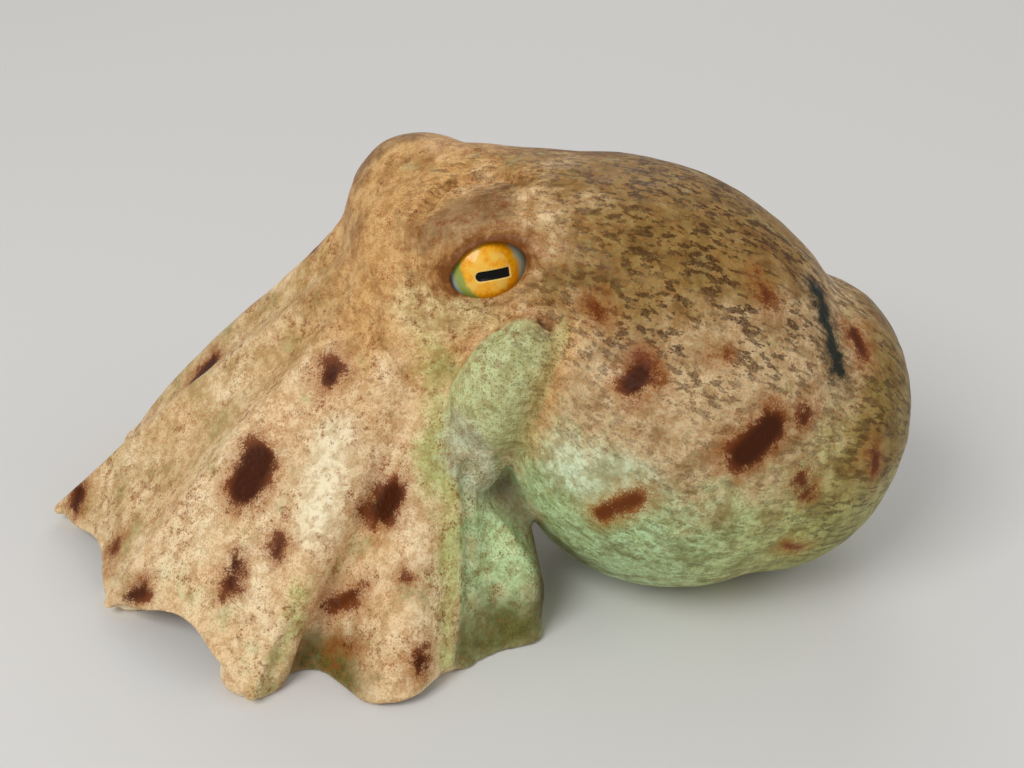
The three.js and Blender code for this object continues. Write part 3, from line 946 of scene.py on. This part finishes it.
def from_balls(centres, radii):
    """How far every point is outside the nearest of a row of balls."""
    radii = np.broadcast_to(radii, len(centres))
    gaps = [np.linalg.norm(places - c, axis=1) - r for c, r in zip(centres, radii)]
    return np.min(gaps, axis=0)


funnel_gap = from_balls(path[::3], funnel_radius[::3])
on_funnel = fade(funnel_gap, 0.9, 0.3) * fade(height, 35, 37.5) * fade(-places[:, 1], 25, 27)
low_lobe = fade(from_stroke((-7.5, -29, 39), (-6, -28, 28)), 5.5, 3.5)
lip = fade(np.linalg.norm(places - path[-1], axis=1), 4.5, 1.5)
tip_lobe = fade(rear, 34, 42) * on_mantle
leaf = np.maximum(on_web("left_4_right_4"), fade(from_stroke((-4, -27, 27), (3, -38, 6)), 7.5, 5))
gap_distance = from_balls(gap[::2], 0)
behind = places[:, 1] + 27.5 + 0.62 * (24 - height)
print("points on the funnel:", int((on_funnel > 0.5).sum()), "on the last web:", int((leaf > 0.5).sum()))

# %% Broad colour zones
zones = dict(tan=on_mantle, brow=brow, low_lobe=low_lobe, lip=lip)
zones["warm"] = fade(from_crown, 46, 8)
olive = np.maximum(fade(height - 0.1 * rear, 48, 70), 0.8 * tip_lobe * fade(height, 20, 36))
zones["olive"] = on_mantle * olive
belly = on_mantle * fade(height + 0.22 * rear, 50, 25)
zones["green"] = np.max([belly, 0.7 * leaf, 0.2 * on_web("left_2_3", w=0.95, reach_w=0.4)], axis=0)
zones["lime"] = on_mantle * fade(height - 0.1 * rear, 52, 30) * fade(rear, 12, 40)
zones["edge"] = np.max([
    1.3 * on_web("left_3_4", u=1.0, reach_u=0.16),
    on_web("left_3_4", u=0.9, w=0.3, reach_u=0.4, reach_w=0.4),
    0.8 * on_web("left_3_4", u=-0.03, reach_u=0.2) * fade(height, 26, 14),
    0.55 * fade(from_stroke((-15, -21, 52), (-9, -28, 42)), 8, 1),
], axis=0)
# painted shade over the web's own olive, dark in the hollow low in the web beside the last one; the last web
# is also painted darker olive towards the floor
fold = np.minimum(1.7 * on_web("left_3_4", u=0.34, w=1.1, reach_u=0.42, reach_w=0.42), 1)
zones["fold"] = np.maximum(fold, 0.8 * leaf * fade(height, 17, 4))
dull_webs = {"left_1_2": 0.45, "left_3_4": 0.25, "right_1_left_1": 0.5}
zones["dull"] = sum(share * on_web(name) for name, share in dull_webs.items())
# a painted highlight: a near-white streak down the front of the tent, along a ridge where light falls; the
# inside of the tent is painted pale as well
pale = fade(from_stroke((-30.3, -28, 36.5), (-34, -38.5, 26)), 8.5, 0)
zones["pale"] = np.maximum(pale * (1 - inside_tent), 0.8 * inside_tent)
zones["cream"] = fade(from_stroke((-16, -18.5, 56.5), (-6.5, -22, 57)), 8, 1.5) * (1 - on_funnel)
# a painted highlight: a soft pale green-white patch on the lower front of the mantle, where light falls
zones["painted_mantle_highlight"] = fade(from_stroke((9, -37.5, 37), (20, -42, 37)), 10, 0)
gap_shade = fade(gap_distance, GAP_RADIUS + 3.5, GAP_RADIUS + 1.2)
zones["gap_shade"] = gap_shade * fade(behind, -0.5, 1)
# an orange band on the mantle along the funnel's edge: partly the mantle's own margin colour, partly a
# painted shadow cast by the funnel
beside_funnel = fade(places @ (0.75, -0.3, -0.2), 1, 4) * on_mantle
zones["funnel_rim_and_shadow"] = fade(np.abs(funnel_gap - 0.6), 3.2, 0.3) * beside_funnel
zones["tip_dark"] = on_mantle * fade(rear, 30, 50)
zones["streak"] = np.max([
    on_mantle * fade(height + 0.05 * rear, 36, 62), 0.85 * tip_lobe, 0.5 * on_mantle,
    0.6 * fade(from_stroke((-14, -9, 72), (-9, -4, 75)), 6, 2),
    0.6 * fade(from_stroke((-5, -7, 75), (9, -15, 75)), 8, 2),
], axis=0)
speckle = np.max([on_tent * (1 - inside_tent), on_arm, fade(from_crown, 45, 20)], axis=0)
zones["speckle"] = speckle * 0.8 + 0.2
for name, values in zones.items():
    store(skin, name, soften(values, ZONE_SOFTNESS))
for name, values in dict(funnel=on_funnel, blotch=blotch, rust=rust, crease=crease, lid_rim_and_shade=lid_rim_and_shade).items():
    store(skin, name, values)
store(skin, "flow", flow)
print("zones painted:", ", ".join(zones))

# %% [markdown]
# ## Node helpers
# A material is a graph, and graphs are long when every node is written out. Short helpers keep them
# readable: they add a node, fill its inputs, and do sums, soft steps and colour mixes. They work in a
# material and in a node group alike, and always add to the one that tree names at the time.


# %% Node helpers
def colour(text):
    """A colour written as six hex digits, as Blender's linear red, green, blue and alpha."""
    values = [int(text[i:i + 2], 16) / 255 for i in (0, 2, 4)]
    return [v / 12.92 if v <= 0.04045 else ((v + 0.055) / 1.055) ** 2.4 for v in values] + [1]


def fill(made, inputs):
    """Gives a node's inputs, by name or number, another node's output or a plain value."""
    for key, value in inputs.items():
        if isinstance(value, bpy.types.NodeSocket):
            tree.links.new(value, made.inputs[key])
        else:
            made.inputs[key].default_value = value
    return made


def node(kind, inputs=None, **settings):
    """Adds a node of a kind to the tree."""
    made = tree.nodes.new("ShaderNode" + kind)
    for key, value in settings.items():
        setattr(made, key, value)
    return fill(made, inputs or {})


def sums(operation, *values):
    """A sum of two values, such as ADD or MULTIPLY."""
    return node("Math", dict(enumerate(values)), operation=operation).outputs[0]


def times(a, b):
    return sums("MULTIPLY", a, b)


def step(value, start, end, low=0.0, high=1.0):
    """low before start, high after end, and smooth between them."""
    inputs = {"Value": value, "From Min": start, "From Max": end, "To Min": low, "To Max": high}
    return node("MapRange", inputs, interpolation_type="SMOOTHSTEP").outputs[0]


def paint(mask, under, over, mode="MIX"):
    """over laid on under where mask is 1. Either may be a colour's six hex digits."""
    under, over = (colour(c) if isinstance(c, str) else c for c in (under, over))
    return node("Mix", {0: mask, 6: under, 7: over}, data_type="RGBA", blend_type=mode).outputs[2]


print("olive in linear light:", [round(value, 3) for value in colour("8f7029")])


# %% Node groups and what materials read
def group(name, inputs, outputs):
    """An empty node group: its tree, what it is given, and the node for its results."""
    made = bpy.data.node_groups.new(name, "ShaderNodeTree")
    for label, kind, value in inputs:
        socket = made.interface.new_socket(label, in_out="INPUT", socket_type="NodeSocket" + kind)
        if value is not None:
            socket.default_value = value
    for label in outputs:
        made.interface.new_socket(label, in_out="OUTPUT", socket_type="NodeSocketFloat")
    return made, made.nodes.new("NodeGroupInput").outputs, made.nodes.new("NodeGroupOutput")


def use(made, inputs):
    """Places a node group in the tree, with its own values."""
    placed = tree.nodes.new("ShaderNodeGroup")
    placed.node_tree = made
    return fill(placed, inputs).outputs


def zone(name):
    """What was stored under a name for every point of the mesh."""
    return node("Attribute", attribute_name=name).outputs["Fac"]


def clouds(size, detail=4.0, where=None):
    """Cloudy noise from 0 to 1, which changes over about size."""
    inputs = {"Vector": where or place, "Scale": 1 / size, "Detail": detail, "Roughness": 0.62}
    return node("TexNoise", inputs).outputs[0]


print("the skin's points carry", len(skin.data.attributes), "layers that a material can read")

# %% [markdown]
# ## Effects as node groups
# Octopus skin is coloured by tiny sacs of pigment, so close up every colour is made of dots. One group
# makes such dots, another breaks the edge of a zone or a blotch into tatters, and a third gives
# the fine grain of the surface. Each is built once here, and used again with other values.

# %% Group: pigment dots
tree, given, result = group(
    "pigment_dots",
    [("Place", "Vector", None), ("Spacing", "Float", 0.0006), ("Cover", "Float", 0.5)],
    ["Mask"],
)
dots = tree
sacs = node("TexVoronoi", {
    "Vector": given["Place"], "Scale": sums("DIVIDE", 1.0, given["Spacing"]), "Randomness": 1.0})
chance = node("SeparateColor", {0: sacs.outputs["Color"]}).outputs[0]
size = times(given["Cover"], sums("ADD", 0.35, chance))
fill(result, {"Mask": step(sacs.outputs["Distance"], sums("ADD", size, 0.02), times(size, 0.45))})
print(dots.name, "has", len(dots.nodes), "nodes")

# %% Group: tattered edge
tree, given, result = group(
    "tattered_edge",
    [("Field", "Float", 0.0), ("Place", "Vector", None), ("Size", "Float", 0.002),
     ("Depth", "Float", 1.0), ("Grain", "Float", 1.0), ("Softness", "Float", 0.5)],
    ["Core", "Fringe"],
)
tatter = tree
GRIT_SCALE = 3600.0  # grits to a metre
tears = {"Scale": sums("DIVIDE", 1.0, given["Size"]), "Detail": 4.0, "Roughness": 0.6}
grit = {"Scale": GRIT_SCALE, "Detail": 1.0}
moved = given["Field"]
for look, depth in ((tears, given["Depth"]), (grit, given["Grain"])):
    noise = node("TexNoise", {"Vector": given["Place"], **look}).outputs[0]
    moved = sums("ADD", moved, times(sums("SUBTRACT", noise, 0.5), depth))
fill(result, {
    "Core": step(moved, given["Softness"], times(given["Softness"], -1.0)),
    "Fringe": step(moved, times(given["Softness"], 4.0), 0.0),
})
print(tatter.name, "has", len(tatter.nodes), "nodes")

# %% Group: skin grain
tree, given, result = group(
    "skin_grain",
    [("Place", "Vector", None), ("Size", "Float", 0.0007)],
    ["Height"],
)
grain = tree
fine = sums("DIVIDE", 1.0, given["Size"])
beads = node("TexVoronoi", {"Vector": given["Place"], "Scale": fine}, feature="SMOOTH_F1")
bead_height = step(beads.outputs["Distance"], 0.8, 0.0)
crumple = node("TexNoise", {
    "Vector": given["Place"], "Scale": times(fine, 0.35), "Detail": 4.0, "Roughness": 0.6})
fill(result, {"Height": sums("ADD", times(bead_height, 0.5), crumple.outputs[0])})
print("groups:", [made.name for made in bpy.data.node_groups])

# %% [markdown]
# ## The skin's finish
# From the bottom up: a sandy ground, broad zones laid over it with cloudy edges, among them painted
# highlights and painted shade, very fine dots, a net of reddish speckles, long dark flecks over the
# back, and last the blotches, painted shade along the crease, and the dark rims of the lids with shade
# from the brow painted above them. The gloss is that of moist skin: fairly rough, with a thin, smoother
# coat. A little light passes through the flesh, which softens the shadows. Painting by layers, as on a
# model, keeps each one easy to change.

# %% Skin: the ground colours
skin_finish, tree, shader = new_finish("octopus_skin")
place = node("TexCoord").outputs["Object"]
drift = sums("SUBTRACT", clouds(0.007, 6.0), 0.5)
green_tone = paint(zone("lime"), "c4e2aa", "cdd288")
LAYERS = [  # zone, how cloudy its edge is, strength and colour, from the bottom up
    ("tan", 1.6, 1, "d6bb8e"), ("warm", 1.6, 0.8, "daa862"), ("dull", 1.6, 1, "bda063"),
    ("lime", 1.6, 0.8, "c8c482"), ("green", 1.6, 1, green_tone), ("olive", 1.6, 0.85, "8f7029"),
    # the last layer below, dark olive, is partly painted shade in the web's hollow
    ("tip_dark", 1.6, 0.45, "857a3a"), ("edge", 1.6, 0.85, "cad488"), ("fold", 0.8, 1, "605e24"),
    # the last layer below, near white, is the painted highlight on the tent, together with the pale inside
    # of it
    ("brow", 1.6, 0.75, "8f7450"), ("cream", 1.0, 0.85, "fbe6ac"), ("pale", 0.6, 0.85, "fff2cc"),
    # the first layer below, pale green-white, is the painted highlight on the mantle
    ("painted_mantle_highlight", 0.6, 0.8, "e2f3cc"), ("funnel", 0, 1, "cfd69c"), ("low_lobe", 1.6, 0.9, "cfd3b2"),
    # the first layer below is partly a painted shadow beside the funnel; the last is painted shade in the
    # gap beside the mantle
    ("funnel_rim_and_shadow", 0, 0.85, "dfa24a"), ("lip", 0, 0.7, "cf9468"), ("gap_shade", 0, 0.85, "3a1c08"),
]
ground = paint(step(clouds(0.012), 0.35, 0.65), "fae2b6", "f0cd9c")
for name, cloudiness, strength, over in LAYERS:
    mask = zone(name)
    if cloudiness:
        mask = step(sums("ADD", mask, times(drift, cloudiness)), 0.1, 0.92)
    ground = paint(times(mask, strength), ground, over)
mottle = step(clouds(0.0019, 6.0), 0.44, 0.6, 0.0, 0.42)
ground = paint(mottle, ground, "b8965c", "MULTIPLY")
brown_parts = sums("MAXIMUM", zone("warm"), zone("tan"))
dusk = times(step(clouds(0.0058, 6.0), 0.47, 0.64), brown_parts)
ground = paint(times(dusk, 0.6), ground, "a08850", "MULTIPLY")
print("ground colours:", len(LAYERS) + 1)

# %% Skin: dots, speckles and flecks
flow_place = node("Attribute", attribute_name="flow").outputs["Vector"]
lengthwise = node("Mapping", {"Vector": flow_place, "Scale": (0.0005, 0.001, 0.001)}).outputs[0]
fine_dots = use(dots, {"Place": place, "Spacing": 0.00036, "Cover": 0.62})["Mask"]
dot_colour = paint(zone("green"), "a8602c", "78824a")
thickness = step(clouds(0.005, 5.0), 0.3, 0.7, 0.2, 0.62)
# fewer dots under the two painted highlights and on the funnel
for name, share in (("pale", 0.35), ("painted_mantle_highlight", 0.4), ("funnel", 0.25)):
    thickness = times(thickness, step(zone(name), 0.0, 1.0, 1.0, share))
skin_colour = paint(times(fine_dots, thickness), ground, dot_colour)

net = times(step(clouds(0.0017, 6.0), 0.51, 0.58), step(clouds(0.009, 3.0), 0.4, 0.58))
net = times(times(net, zone("speckle")), step(fine_dots, 0.0, 1.0, 0.4, 1.0))
net_colour = paint(zone("green"), "8a4a1e", "7a6a34")
skin_colour = paint(times(net, 0.85), skin_colour, net_colour)

flecks = step(clouds(0.001, 6.0, lengthwise), 0.5, 0.55)
flecks = times(flecks, step(clouds(0.006, 3.0, lengthwise), 0.32, 0.52))
flecks = times(times(flecks, zone("streak")), step(fine_dots, 0.0, 1.0, 0.75, 1.0))
fleck_colour = paint(zone("green"), "422002", "5a5216")
skin_colour = paint(times(flecks, 0.94), skin_colour, fleck_colour)

funnel_dots = use(dots, {"Place": place, "Spacing": 0.0004, "Cover": 0.44})["Mask"]
skin_colour = paint(times(times(funnel_dots, zone("funnel")), 0.55), skin_colour, "4c5426")
print("nodes so far:", len(tree.nodes))


# %% Skin: blotches, crease and lids
def marking(under, field, edge, fringe, core):
    """A marking with a tattered edge. fringe and core are strengths and colours."""
    look = dict(zip(("Size", "Depth", "Grain", "Softness"), edge))
    parts = use(tatter, {"Field": field, "Place": place, **look})
    under = paint(times(parts["Fringe"], fringe[0]), under, fringe[1])
    return paint(times(parts["Core"], core[0]), under, core[1]), parts["Core"]


skin_colour, brown = marking(
    skin_colour, zone("blotch"), (0.0034, 9.0, 3.6, 0.9), (0.5, "a05a1c"), (0.94, "703206"))
heart = times(step(zone("blotch"), 0.4, -2.0), brown)
skin_colour = paint(heart, skin_colour, "441a00")
skin_colour, rusty = marking(
    skin_colour, zone("rust"), (0.0028, 4.0, 4.5, 1.0), (0.5, "b0781c"), (0.9, "8c4400"))
heart = times(step(zone("rust"), 0.2, -1.4), rusty)
skin_colour = paint(times(heart, 0.75), skin_colour, "5a2400")
# painted shade: a near-black line down the crease between the mantle and its tip, with a brown fringe
crease_edge = sums("SUBTRACT", zone("crease"), 1.5)
skin_colour, crease_shade = marking(
    skin_colour, crease_edge, (0.0026, 7.5, 3.0, 0.9), (0.6, "4a3410"), (0.95, "12201a"))
dark = sums("MAXIMUM", sums("MAXIMUM", brown, crease_shade), rusty)
shaky = sums("SUBTRACT", clouds(0.0016, 6.0), 0.5)
# the lids' own dark orange-brown rims, wider and darker above the eye, where shade from the brow is painted
around = sums("ADD", zone("lid_rim_and_shade"), times(shaky, 5.0))
skin_colour = paint(step(around, 3.4, 0.8, 0.0, 0.75), skin_colour, "98622a")
skin_colour = paint(step(around, 1.9, 0.1, 0.0, 0.9), skin_colour, "703a06")
print("nodes so far:", len(tree.nodes))

# %% Skin: relief and gloss
relief = use(grain, {"Place": place, "Size": 0.0008})["Height"]
relief = sums("ADD", relief, times(clouds(0.0016, 4.0, lengthwise), 0.8))
bump = node("Bump", {"Height": relief, "Strength": 0.6, "Distance": 0.0004})
fill(shader, {
    "Base Color": skin_colour,
    "Roughness": step(clouds(0.004), 0.3, 0.7, 0.4, 0.56),
    "Normal": bump.outputs["Normal"],
    "Coat Weight": step(dark, 0.0, 1.0, 0.05, 0.0),
    "Coat Roughness": 0.2,
    "Specular IOR Level": 0.15,
    "Subsurface Weight": 0.08,
    "Subsurface Radius": (1.0, 0.45, 0.25),
    "Subsurface Scale": 0.002,
})
skin.data.materials.append(skin_finish)

flesh_nodes = [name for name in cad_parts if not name.startswith("eye_")]
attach(skin, "root")
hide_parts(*flesh_nodes)
print("the skin stands in for", len(flesh_nodes), "solids")

# %% [markdown]
# ## Eyes
# An octopus's eye is a ball with a golden iris and a pupil like a slot, which stays level. The ball is
# a sphere of rings round the line of sight, so that its faces are finest in front. The iris is pushed
# in at the pupil. Its colours are drawn by how far a point lies along and across the eye: gold round
# the pupil, then green, then a grey-blue rim.

# %% Eyeballs
# millimetres, from the middle of the face of the eye
PUPIL_TILT = math.radians(13)  # between the pupil and the long axis of the opening
PUPIL = dict(centre=(0.45, -0.6), half_length=2.06, half_height=0.78, depth=0.4)
IRIS_CENTRE = (0.5, 0.25)
IRIS_RADIUS = 4.5
EYE_RINGS, EYE_SIDES = 90, 120
RIM_HEIGHT = 0.06  # how far the pupil's edge stands up


def eyeball():
    """A ball's points as distances along, across and out of the eye, and its faces."""
    ball = bmesh.new()
    bmesh.ops.create_uvsphere(ball, u_segments=EYE_SIDES, v_segments=EYE_RINGS, radius=EYEBALL)
    ball.verts.index_update()
    local = np.array([point.co for point in ball.verts], float)
    faces = [[point.index for point in face.verts] for face in ball.faces]
    ball.free()
    return local, faces


def pupil_field(local):
    """How far a point is outside the pupil, on the face of the eye."""
    x, y = local[:, 0] - PUPIL["centre"][0], local[:, 1] - PUPIL["centre"][1]
    c, s = math.cos(PUPIL_TILT), math.sin(PUPIL_TILT)
    x, y = c * x - s * y, s * x + c * y
    beyond = np.maximum(np.abs(x) - PUPIL["half_length"], 0)
    round_end = np.sqrt(beyond**2 + y**2)
    square_end = np.maximum(beyond, np.abs(y))
    return np.where(x > 0, square_end, round_end) - PUPIL["half_height"]


def make_eye(side):
    """An eye with its pupil pushed in and its rim raised, turned to its line of sight."""
    local, faces = eyeball()
    slot = pupil_field(local)
    sunk = fade(slot, 0.15, -0.25) * PUPIL["depth"] - RIM_HEIGHT * fade(np.abs(slot - 0.25), 0.25, 0)
    sunk = sunk * (local[:, 2] > 0)
    shaped = local * (1 - sunk / EYEBALL)[:, None]
    turned = shaped @ np.array(eye_axes(side)) + eye_centre(side)
    if np.linalg.det(np.array(eye_axes(side))) < 0:
        faces = [face[::-1] for face in faces]
    made = mesh_object("eyeball_" + side, turned, faces)
    from_middle = np.hypot(local[:, 0] - IRIS_CENTRE[0], 0.8 * (local[:, 1] - IRIS_CENTRE[1]))
    store(made, "face_of_eye", local)
    store(made, "pupil", slot)
    store(made, "iris", from_middle - IRIS_RADIUS)
    made.data.materials.append(eye_finish)
    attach(made, "root")
    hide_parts("eye_" + side)


print("points of an eyeball:", len(eyeball()[0]))

# %% [markdown]
# ## The eye's finish
# A painted disc would show a hard edge, and the real iris is a cloth of fine fibres under a clear
# front. So noise in the eye's own directions makes the gold uneven and the rings waver, a thin pale
# line goes round the pupil, and a smooth coat stands for the wet front. The pupil stays dull.

# %% Eye material
eye_finish, tree, shader = new_finish("octopus_eye")
place = node("Attribute", attribute_name="face_of_eye").outputs["Vector"]
axes_of_eye = node("SeparateXYZ", {0: place}).outputs
waver = sums("SUBTRACT", clouds(1.4, 4.0), 0.5)
outward = sums("ADD", zone("iris"), times(waver, 1.2))
fibre_look = {"Vector": place, "Scale": 1.6, "Detail": 6.0, "Roughness": 0.7}
fibres = node("TexNoise", fibre_look).outputs[0]
gold = paint(step(fibres, 0.35, 0.65), "ffb910", "ee9410")
gold = paint(step(clouds(2.5, 1.0), 0.45, 0.7), gold, "f6c24c")
front = step(axes_of_eye[0], 1.0, -1.0)
corner_colour = paint(front, "c6d0b4", "98a244")
iris = paint(step(outward, -0.2, 0.5), gold, corner_colour)
iris = paint(step(outward, 1.0, 2.4), iris, "b4c2ba")
thin_line = step(zone("pupil"), 0.4, 0.1, 0.0, 0.55)
iris = paint(thin_line, iris, "fbe08c")
lit = step(zone("pupil"), 0.0, 0.1)
fill(shader, {
    "Base Color": paint(lit, "050403", iris),
    "Roughness": 0.35,
    "Coat Weight": step(lit, 0.0, 1.0, 0.05, 0.45),
    "Coat Roughness": 0.05,
    "Specular IOR Level": 0.2,
})
for side in EYES:
    make_eye(side)
print("eyes:", ", ".join(EYES))

# %% [markdown]
# ## Suckers
# This species has a single row of suckers along each arm, largest near the head and tiny at the tip.
# One sucker is a small ring turned round an axis, with a hollow in the middle. It is copied along
# every arm's line and joined into one mesh, because hundreds of objects would be slow to handle.
# Where an arm lies on the floor its row turns to the inside of the curl, as it does in life.

# %% Suckers
SUCKER_SHARE = 0.52  # a sucker's radius as a share of the arm's
SUCKER_SIDES = 14
SUCKER_PROFILE = [
    (0.0, -0.1), (0.3, -0.08), (0.55, 0.12), (0.78, 0.42), (0.95, 0.4), (1.0, 0.15), (0.9, -0.35),
]
ROLL = math.radians(62)  # how far the row turns up from straight below, where an arm lies down
FIRST_SUCKER = 0.16  # as a share of the arm's length
SMALLEST_SUCKER = 0.35
SUCKER_SEAT = 0.93  # how far out it sits, as a share of the arm's radius


def ring_faces(first, rings, sides):
    """Faces between rings of points that are numbered from first."""
    faces = []
    for j in range(rings - 1):
        for i in range(sides):
            k = (i + 1) % sides
            a, b = first + j * sides, first + (j + 1) * sides
            faces.append((a + i, b + i, b + k, a + k))
    return faces


def sucker_row(name):
    """The suckers along one arm: their places, directions out and ahead, and radii."""
    line, radii, share = drawn_arm(name, 0.25)
    ahead = np.gradient(line, axis=0)
    ahead /= np.linalg.norm(ahead, axis=1, keepdims=True)
    inner_side = 1 if "trail" in ARMS[name] else -1
    rows = []
    along, last = lengths_along(line), -9.0
    under = None
    for i in range(len(line)):
        level = unit(np.cross((0, 0, 1), ahead[i]))
        if under is None:
            under = -unit(np.cross(ahead[i], level))
        under = unit(under - (under @ ahead[i]) * ahead[i])
        radius = radii[i]
        size = max(radius * SUCKER_SHARE, SMALLEST_SUCKER)
        if share[i] < FIRST_SUCKER or along[i] - last < 2.02 * size:
            continue
        last = along[i]
        side = np.cross(under, ahead[i]) * -inner_side
        roll = ROLL * fade(share[i], 0.36, 0.5)
        out = math.cos(roll) * under + math.sin(roll) * side
        centre = line[i] + out * (radius * SUCKER_SEAT)
        if centre[2] > 0.9 * size:
            rows.append((centre, out, ahead[i], size))
    return rows


sucker_places, sucker_faces = [], []
turn = np.linspace(0, 2 * np.pi, SUCKER_SIDES, endpoint=False)
rows = [sucker for name in curves for sucker in sucker_row(name)]
for centre, out, ahead, size in rows:
    side = np.cross(out, ahead)
    sucker_faces += ring_faces(len(sucker_places), len(SUCKER_PROFILE), SUCKER_SIDES)
    for reach, lift in SUCKER_PROFILE:
        for a in turn:
            offset = reach * (math.cos(a) * ahead + math.sin(a) * side) + 0.8 * lift * out
            sucker_places.append(centre + size * offset)
sucker_places = np.array(sucker_places)
sucker_places[:, 2] = np.maximum(sucker_places[:, 2], 0)
suckers = mesh_object("suckers", sucker_places, sucker_faces)
print("suckers:", len(rows))

# %% Sucker finish
sucker_finish, tree, shader = new_finish("octopus_suckers")
place = node("TexCoord").outputs["Object"]
pale_ring = paint(step(clouds(0.003), 0.35, 0.65), "eddcc0", "dcb795")
sucker_dots = use(dots, {"Place": place, "Spacing": 0.0006, "Cover": 0.3})["Mask"]
sucker_relief = use(grain, {"Place": place, "Size": 0.0004})["Height"]
sucker_bump = node("Bump", {"Height": sucker_relief, "Strength": 0.4, "Distance": 0.0001})
fill(shader, {
    "Base Color": paint(times(sucker_dots, 0.3), pale_ring, "8a4a22"),
    "Normal": sucker_bump.outputs["Normal"],
    "Roughness": 0.4,
    "Coat Weight": 0.3,
    "Coat Roughness": 0.15,
})
suckers.data.materials.append(sucker_finish)
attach(suckers, "root")
print("nodes in the suckers' material:", len(tree.nodes))
